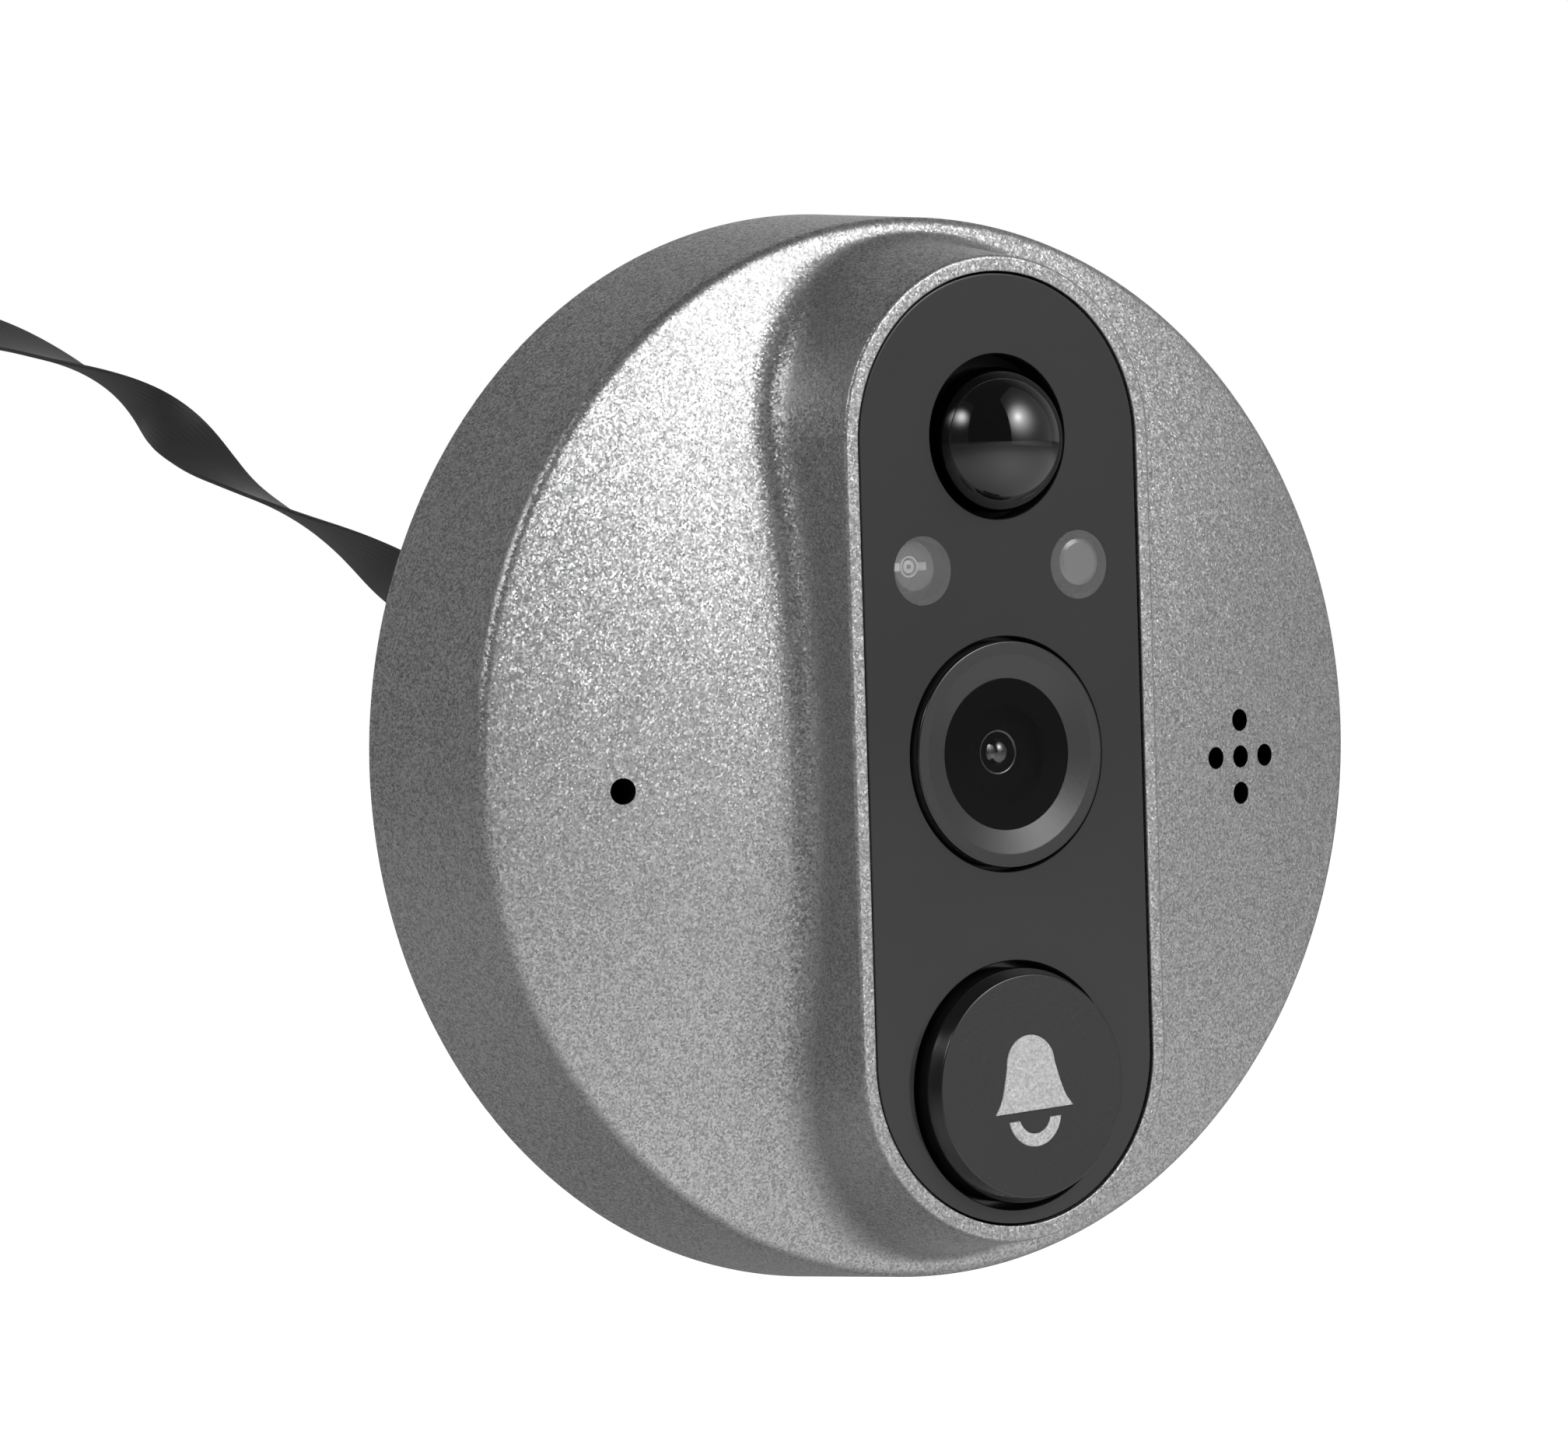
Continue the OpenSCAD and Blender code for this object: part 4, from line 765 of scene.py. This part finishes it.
SMOKE = plastic("smoked_window", 0.58, 0.12, 0.0, Alpha=0.28)
LED_RESIN = plastic("led_resin", 0.95, 0.1, 0.0, Alpha=0.22)
DIE_GREY = plastic("die_grey", 0.12, 0.4, 0.0)
SYMBOL_SILVER = flake_paint("symbol_silver", 0.3, 0.5, 0.82, 0.5, 8000, 0.3)
STEEL = metal("screw_steel", (0.5, 0.5, 0.5), 0.32)
CAN_METAL = metal("can_metal", (0.6, 0.6, 0.58), 0.3)
LEAD_PLATING = plastic("lead_plating", 0.9, 0.25, 0.0, 1.0)
BRASS = metal("insert_brass", (0.7, 0.5, 0.22), 0.3)
COVER_GLASS = masked_glass(2.5, 2.9, 0.022)
LENS_GLASS = clear_coat("lens_glass", 0.1)
INNER_GLASS = clear_coat("inner_glass", 0.12, 0.06)


# Pieces

make_camera()

ribbon, ribbon_line = ribbon_mesh()
ribbon = add_piece("ribbon", ribbon, RIBBON_FILM, nodes=["ribbon_cable"])
tab = add_piece("tab", tab_mesh(), TAB_FILM, nodes=["ribbon_tab"])

add_piece("housing", housing_mesh(), [PAINT, BARE_PLASTIC], nodes=["front_housing"])
add_piece("panel", panel_mesh(), [PANEL_BLACK, BARE_PLASTIC], nodes=["front_panel"])

# Motion detector's lens: flange, foot and round dome, hollow inside
foot_r, flange_top = PIR_HOLE_R - PIR_GAP, FLANGE_Z + FLANGE_T
ball_r = (foot_r**2 + PIR_DOME_H**2) / (2 * PIR_DOME_H)
ball_z = FACE_Z + PIR_DOME_H - ball_r
inner_r = ball_r - PIR_WALL
tilt = np.linspace(math.asin((FACE_Z - ball_z) / ball_r), math.pi / 2, 48)
inner_tilt = np.linspace(math.pi / 2, math.asin((FACE_Z - PIR_WALL - ball_z) / inner_r), 24)
shell = arc_points(ball_r, tilt) + (0, ball_z)
hollow = arc_points(inner_r, inner_tilt) + (0, ball_z)
way_r = hollow[-1, 0]
foot = [(way_r, FLANGE_Z), (PIR_FLANGE_R, FLANGE_Z), (PIR_FLANGE_R, flange_top), (foot_r, flange_top),
        (foot_r, FACE_Z)]
profile = np.concatenate([foot, shell[1:], hollow, [(way_r, FLANGE_Z)]])
matt = np.arange(len(profile) - 1) < len(foot) - 2
add_piece("pir_dome", turned("pir_dome", profile, 0, PIR_UP - PIR_SAG, 160, second=matt),
          [GLOSS_BLACK, BARE_PLASTIC], nodes=["pir_lens"])

# Lens bezel: flat rim, dished ring, lip over the glass
glass_z, rim_z, lap_r = FACE_Z - GLASS_SINK, FACE_Z + BEZEL_PROUD, IRIS_R + GLASS_LAP
profile = rounded([(lap_r, FLANGE_Z, 0), (BEZEL_FLANGE_R, FLANGE_Z, 0), (BEZEL_FLANGE_R, flange_top, 0),
                   (BEZEL_R, flange_top, 0), (BEZEL_R, rim_z, 0.12), (BEZEL_R - BEZEL_RIM, rim_z, 0.3),
                   (IRIS_R, FACE_Z, 0.03), (IRIS_R, glass_z, 0), (lap_r, glass_z, 0),
                   (lap_r, FLANGE_Z, 0)], 8)
shiny = (profile[:-1, 0] > BEZEL_R - 0.1) & (profile[:-1, 1] > FACE_Z)
add_piece("bezel", turned("bezel", profile, 0, LENS_UP, 192, second=shiny), [BEZEL_BLACK, SIDE_BLACK],
          nodes=["lens_bezel"])

# Cover glass: a disc held behind the bezel's lip, with its middle raised into the iris
glass_r, middle_r = lap_r - 0.03, IRIS_R - 0.01
back_z, lap_z, face_z = glass_z - GLASS_T, glass_z - 0.01, FACE_Z - 0.02
profile = rounded([(0, back_z, 0), (glass_r, back_z, 0.05), (glass_r, lap_z, 0.05), (middle_r, lap_z, 0),
                   (middle_r, face_z, 0.02), (0, face_z, 0)], 3)
add_piece("front_glass", turned("front_glass", profile, 0, LENS_UP, 96), COVER_GLASS, nodes=["cover_glass"])

# Lens barrel with a stepped mouth and a dark well
eye_up, barrel_z, ring_z, well_z = LENS_UP + 0.1, 18.55, 18.46, 17.75
mouth_r, cone_r, nose_r, nose_ball, nose_z = 0.78, 1.5, 0.6, 1.0, 18.68
back_r, back_ball, back_z = 0.48, 1.5, 17.87
bore_r, barrel_foot = back_r + 0.01, BOARD_Z + 1.4
profile = rounded([(bore_r, barrel_foot, 0), (BARREL_R, barrel_foot, 0), (BARREL_R, barrel_z, 0.2),
                   (cone_r, barrel_z, 0.03), (ELEMENT_R + 0.06, ring_z - 0.04, 0),
                   (mouth_r, ring_z - 0.05, 0), (mouth_r, well_z, 0.1), (bore_r, well_z, 0),
                   (bore_r, barrel_foot, 0)], 5)
add_piece("barrel", turned("barrel", profile, 0, eye_up, 128), BARREL_BLACK, nodes=["lens_barrel"])

# Bright retaining ring: its bevel falls inwards as z = top - 5.5 (inward - 0.03)^2
inward = np.array([0.03, 0.0, -0.03, -0.06])
ring_top, ring_low, ring_out, ring_in = ring_z + 0.02, ring_z - 0.06, ELEMENT_R + 0.05, ELEMENT_R - 0.06
bevel = np.stack([ELEMENT_R + inward, ring_top - 5.5 * (inward - 0.03) ** 2], -1)
ring = np.concatenate([[(ring_in, ring_low), (ring_out, ring_low), (ring_out, ring_top)], bevel,
                       [(ring_in, ring_low)]])
add_piece("lens_ring", turned("lens_ring", ring, 0, eye_up, 128), RING_BLACK)


def nose_cap(r, ball, z):
    """Profile of a round lens nose: the cap of a ball that stands on a circle of radius r at height z."""
    tilt = np.linspace(math.acos(r / ball), math.pi / 2, 24)
    return arc_points(ball, tilt) + (0, z - ball * math.sin(tilt[0]))


# Front element's nose, and the element behind it
seat_z, seat_r = ring_z - 0.12, mouth_r - 0.01
seat = [(0, seat_z), (seat_r, seat_z), (seat_r, ring_z)]
nose = np.concatenate([seat, nose_cap(nose_r, nose_ball, nose_z)])
add_piece("element", turned("element", nose, 0, eye_up, 64, 8), LENS_GLASS, nodes=["lens_element"])
seat = [(0, back_z - 0.3), (back_r, back_z - 0.3)]
nose = np.concatenate([seat, nose_cap(back_r, back_ball, back_z)])
add_piece("inner_element", turned("inner_element", nose, 0, eye_up, 64, 20), INNER_GLASS)

# Smoked windows
window_z = FACE_Z - WINDOW_T
profile = rounded([(0, window_z, 0), (WINDOW_R, window_z, 0), (WINDOW_R, FACE_Z, 0.01), (0, FACE_Z, 0)], 3)
for side, name in ((-1, "led_window"), (1, "sensor_window")):
    disc = turned(name, profile, side * WINDOW_SIDE, WINDOW_UP, 72)
    add_piece(name + "_disc", disc, SMOKE, nodes=[name])

# LED behind the left window; its foot is like the light sensor's
foot_r, foot_z = LED_R + LED_FOOT_W, BOARD_Z + LED_FOOT_H
foot = [(0, BOARD_Z, 0), (foot_r, BOARD_Z, 0), (foot_r, foot_z, 0.1)]
led_z = FACE_Z - LED_DEPTH
profile = rounded(foot + [(LED_R, foot_z, 0), (LED_R, led_z, 0.08), (0, led_z + 0.02, 0)], 5)
add_piece("led_body", turned("led_body", profile, LED_X, LED_UP, 72), LED_RESIN, nodes=["ir_led"])

# Inside of the LED: reflector cup with its floor, two lead posts and the die
cup_z, cup_bore, cup_r, cup_h, pad_r = led_z - 0.5, 0.5, 0.62, 0.3, 0.38
cup_low, pad_low, pad_z = cup_z - cup_h, cup_z - 0.2, cup_z - 0.06
cup = rounded([(cup_bore, cup_low, 0), (cup_r, cup_low, 0), (cup_r, cup_z, 0.05),
               (cup_bore + 0.02, cup_z, 0.04), (cup_bore, cup_low, 0)], 4)
pad = rounded([(0, pad_low, 0), (pad_r, pad_low, 0), (pad_r, pad_z, 0.06), (0, pad_z, 0)], 3)
cup_mesh = make_mesh("led_cup", [lathe(line, LED_X, LED_UP, 48) for line in (cup, pad)])
add_piece("led_cup", cup_mesh, LEAD_PLATING)
posts = [block(LED_X + side * 0.92, LED_UP, cup_z - 0.1, 0.28, 0.24, 0.1, 0.04) for side in (-1, 1)]
add_piece("led_posts", make_mesh("led_posts", posts), LEAD_PLATING)
die = [block(LED_X, LED_UP, cup_z - 0.03, 0.11, 0.11, 0.04, 0.01)]
add_piece("led_die", make_mesh("led_die", die), DIE_GREY)

# Light sensor behind the right window
sensor_z, top_r = window_z - 0.05, SENSOR_R - 0.25
profile = rounded(foot + [(SENSOR_R, foot_z, 0), (SENSOR_R, sensor_z - 0.1, 0.02), (top_r, sensor_z, 0.03),
                          (0, sensor_z, 0)], 5)
add_piece("sensor_body", turned("sensor_body", profile, SENSOR_X, SENSOR_UP, 72, 15), SENSOR_RESIN,
          nodes=["light_sensor"])

# Bell button with its inlaid symbol; the edge of the cap and its side are shinier than its face
face_z, flange_z = BUTTON_FACE_Z, PANEL_Z - SEAL_T - TOUCH - BUTTON_FLANGE_T
hollow_r, hollow_z, flange_top = BUTTON_R - BUTTON_WALL, face_z - BUTTON_TOP, flange_z + BUTTON_FLANGE_T
profile = rounded([(0, hollow_z, 0), (hollow_r, hollow_z, 0), (hollow_r, flange_z, 0),
                   (BUTTON_FLANGE_R, flange_z, 0), (BUTTON_FLANGE_R, flange_top, 0),
                   (BUTTON_R, flange_top, 0), (BUTTON_R, face_z - BUTTON_SLOPE, 0.25),
                   (BUTTON_FACE_R, face_z, 0.1), (0, face_z, 0)], 6)
shiny = np.arange(len(profile) - 1) < len(profile) - 3
cap = turned("button_cap", profile, 0, BUTTON_UP, 192, 30, shiny)
pocket_z, symbol_z = face_z - BELL_DEPTH, face_z + BELL_PROUD
pocket = slab_mesh("bell_pocket", bell_loops(BELL_GAP), BUTTON_UP, pocket_z, face_z + 0.5, 0.0)
add_piece("button_cap", carve(cap, pocket, 30), [BUTTON_BLACK, SIDE_BLACK], "button", ["bell_button"])
symbol = slab_mesh("bell_inlay", bell_loops(0.0), BUTTON_UP, pocket_z + 0.02, symbol_z, BELL_PROUD)
add_piece("bell_inlay", symbol, SYMBOL_SILVER, "button", ["bell_symbol"])

# Materials of the CAD nodes that stay
KEPT = {
    SEAL_RUBBER: ["rear_gasket", "button_seal", "cable_grommet", "mic_boot", "speaker_gasket"],
    CASE_BLACK: ["rear_cover", "speaker_frame", "switch_body", "lens_holder", "image_sensor"],
    PAD_FOAM: ["adhesive_pad"],
    BARE_PLASTIC: ["panel_adhesive"],
    STEEL: ["cover_screws", "board_screws", "speaker_magnet"],
    BRASS: ["threaded_inserts"],
    CAN_METAL: ["pir_sensor", "microphone"],
    IVORY: ["switch_plunger", "ribbon_socket"],
    CONE_FILM: ["speaker_cone"],
    BOARD_MASK: ["circuit_board"],
    RIBBON_FILM: ["ribbon_inner"],
}
for material, names in KEPT.items():
    for name in names:
        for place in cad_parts[name].material_slots:
            place.link = "OBJECT"
            place.material = material


# Studio

def make_world():
    """Dim studio light all round, strongest low behind the object and weakest overhead. The camera sees a
    white backdrop, and so do reflections and glass where they look past the object, along the photograph's
    sight line."""
    away, low_away = (0.568, 0.823, 0.0), (0.568, 0.823, -0.6)
    world = bpy.data.worlds.new("studio")
    bpy.context.scene.world = world
    world.use_nodes = True
    nodes, links = world.node_tree.nodes, world.node_tree.links
    path, place = nodes.new("ShaderNodeLightPath"), nodes.new("ShaderNodeTexCoord")
    toward, low = operators(nodes, VECTOR_MATH, "DOT_PRODUCT", "DOT_PRODUCT")
    for node, direction in ((toward, away), (low, low_away)):
        node.inputs[1].default_value = direction
        links.new(place.outputs["Generated"], node.inputs[0])
    behind = ramp(nodes, links, toward.outputs["Value"], 0, 1, 0.90, 0.98)
    ambient = ramp(nodes, links, low.outputs["Value"], 0.07, 0.4, -0.3, 0.6)
    mirror, seen, white, total = operators(nodes, MATH, "MAXIMUM", "MULTIPLY", "MAXIMUM", "MAXIMUM")
    links.new(path.outputs["Is Glossy Ray"], mirror.inputs[0])
    links.new(path.outputs["Is Transmission Ray"], mirror.inputs[1])
    links.new(mirror.outputs["Value"], seen.inputs[0])
    links.new(behind, seen.inputs[1])
    links.new(path.outputs["Is Camera Ray"], white.inputs[0])
    links.new(seen.outputs["Value"], white.inputs[1])
    links.new(white.outputs["Value"], total.inputs[0])
    links.new(ambient, total.inputs[1])
    links.new(total.outputs["Value"], nodes["Background"].inputs["Color"])


def glow_sum(nodes, links, place, base, glows):
    """Light over a surface: base + sum of peak exp(-d^2), d being the scaled distance of a place from a
    glow's middle."""
    total = None
    for middle, scale, peak in glows:
        offset, scaled, reach = operators(nodes, VECTOR_MATH, "SUBTRACT", "MULTIPLY", "DOT_PRODUCT")
        away, glow, lit = operators(nodes, MATH, "MULTIPLY", "EXPONENT", "MULTIPLY_ADD")
        offset.inputs[1].default_value, scaled.inputs[1].default_value = middle, scale
        away.inputs[1].default_value = -1
        lit.inputs[1].default_value, lit.inputs[2].default_value = peak, base
        links.new(place, offset.inputs[0])
        links.new(offset.outputs["Vector"], scaled.inputs[0])
        links.new(scaled.outputs["Vector"], reach.inputs[0])
        links.new(scaled.outputs["Vector"], reach.inputs[1])
        links.new(reach.outputs["Value"], away.inputs[0])
        links.new(away.outputs["Value"], glow.inputs[0])
        links.new(glow.outputs["Value"], lit.inputs[0])
        if total:
            links.new(total, lit.inputs[2])
        total = lit.outputs["Value"]
    return total


def softbox(name, azimuth, distance, width, low, high, base, glows):
    """An upright diffuser panel that faces the object's axis, evenly lit, with soft glows where lamps stand
    behind it. A glow is given by the azimuth and elevation at which the object sees it, its spread in metres
    and its peak. Azimuth is counted from straight in front of the object towards the picture's right, in
    degrees."""
    turn, height = math.radians(azimuth), high - low
    aim = Vector((math.sin(turn), -math.cos(turn), 0))
    lamp = bpy.data.lights.new(name, "AREA")
    lamp.shape, lamp.size, lamp.size_y = "RECTANGLE", width, height
    lamp.energy = math.pi * width * height
    lamp.use_nodes = True
    nodes, links = lamp.node_tree.nodes, lamp.node_tree.links
    spots = []
    for side, rise, spread, peak in glows:
        aside = math.radians(side - azimuth)
        level = distance / math.cos(aside) * math.tan(math.radians(rise))
        middle = (0.5 + distance * math.tan(aside) / width, (level - low) / height, 0)
        spots.append((middle, (width / spread, height / spread, 0), peak))
    place = nodes.new("ShaderNodeNewGeometry").outputs["Parametric"]
    links.new(glow_sum(nodes, links, place, base, spots), nodes["Emission"].inputs["Strength"])
    light = bpy.data.objects.new(name, lamp)
    light.location = aim * distance + Vector((0, 0, (low + high) / 2))
    light.rotation_mode = "QUATERNION"
    light.rotation_quaternion = (-aim).to_track_quat("-Z", "Y")
    light.visible_camera = False
    bpy.context.scene.collection.objects.link(light)


# Light and shade painted on the floor, which only reflections see: place, narrowness and peak of each
# glow. The glow with a negative peak, right under the object, is a painted shadow of the object.
FLOOR_PAINTED_LIGHT_AND_SHADOW = ((0, -0.3, 2.9, 0.6), (0.55, -0.1, 2.5, 0.33), (0.03, -0.2, 9, 0.15), (-0.31, -0.03, 7, 0.08),
               (0.3, -1.9, 0.55, 0.42), (0, 0.05, 8, -0.3), (-0.5, 0.55, 2.8, 0.3))


def make_floor():
    """A pale floor below the object, which hangs on its door mount. The camera sees it white, with the
    object's shadow kept. Reflections see a darker floor with light painted on it in front of the object, a
    painted shadow right under it, and dimness farther off."""
    far, level = 3.8, -0.16
    mesh = bpy.data.meshes.new("floor")
    corners = [(-far, -far, level), (far, -far, level), (far, far, level), (-far, far, level)]
    mesh.from_pydata(corners, [], [(0, 1, 2, 3)])
    floor = bpy.data.objects.new("floor", mesh)
    bpy.context.scene.collection.objects.link(floor)
    material, nodes, links, shader = blank_material("floor_white", 0.8, 0.9, 0.0, 0.0)
    path, place = nodes.new("ShaderNodeLightPath"), nodes.new("ShaderNodeTexCoord")
    reach, = operators(nodes, VECTOR_MATH, "LENGTH")
    links.new(place.outputs["Object"], reach.inputs[0])
    direct, mirror, total = operators(nodes, MATH, "MAXIMUM", "MULTIPLY", "MULTIPLY_ADD")
    links.new(path.outputs["Is Camera Ray"], direct.inputs[0])
    links.new(path.outputs["Is Transmission Ray"], direct.inputs[1])
    # Painted light, and a painted shadow under the object, that only reflections see on the floor
    spots = [((x, y, level), (narrow, narrow, 0), peak) for x, y, narrow, peak in FLOOR_PAINTED_LIGHT_AND_SHADOW]
    links.new(path.outputs["Is Glossy Ray"], mirror.inputs[0])
    links.new(glow_sum(nodes, links, place.outputs["Object"], 0.1, spots), mirror.inputs[1])
    links.new(direct.outputs["Value"], total.inputs[0])
    links.new(ramp(nodes, links, reach.outputs["Value"], 0.7, 1.0, 0.3, 0.9), total.inputs[1])
    links.new(mirror.outputs["Value"], total.inputs[2])
    links.new(total.outputs["Value"], shader.inputs["Emission Strength"])
    # Reflections see a darker floor than the camera does, so that the painted glows set the light they show
    links.new(tint(nodes, links, path.outputs["Is Glossy Ray"], 0.8, 0.12), shader.inputs["Base Color"])
    shader.inputs["Emission Color"].default_value = (1, 1, 1, 1)
    mesh.materials.append(material)


make_world()
softbox("right_panel", 41, 0.9, 1.5, -0.12, 2.2, 0.12,
        [(19, 31, 0.33, 6.7), (19, 31, 0.12, 5), (30, 42, 0.6, 0.45)])
softbox("left_panel", -100, 0.8, 1.1, -0.12, 1.3, 0.05, [(-82, 35, 0.17, 8.5)])
make_floor()
bpy.context.scene.view_settings.view_transform = "Standard"
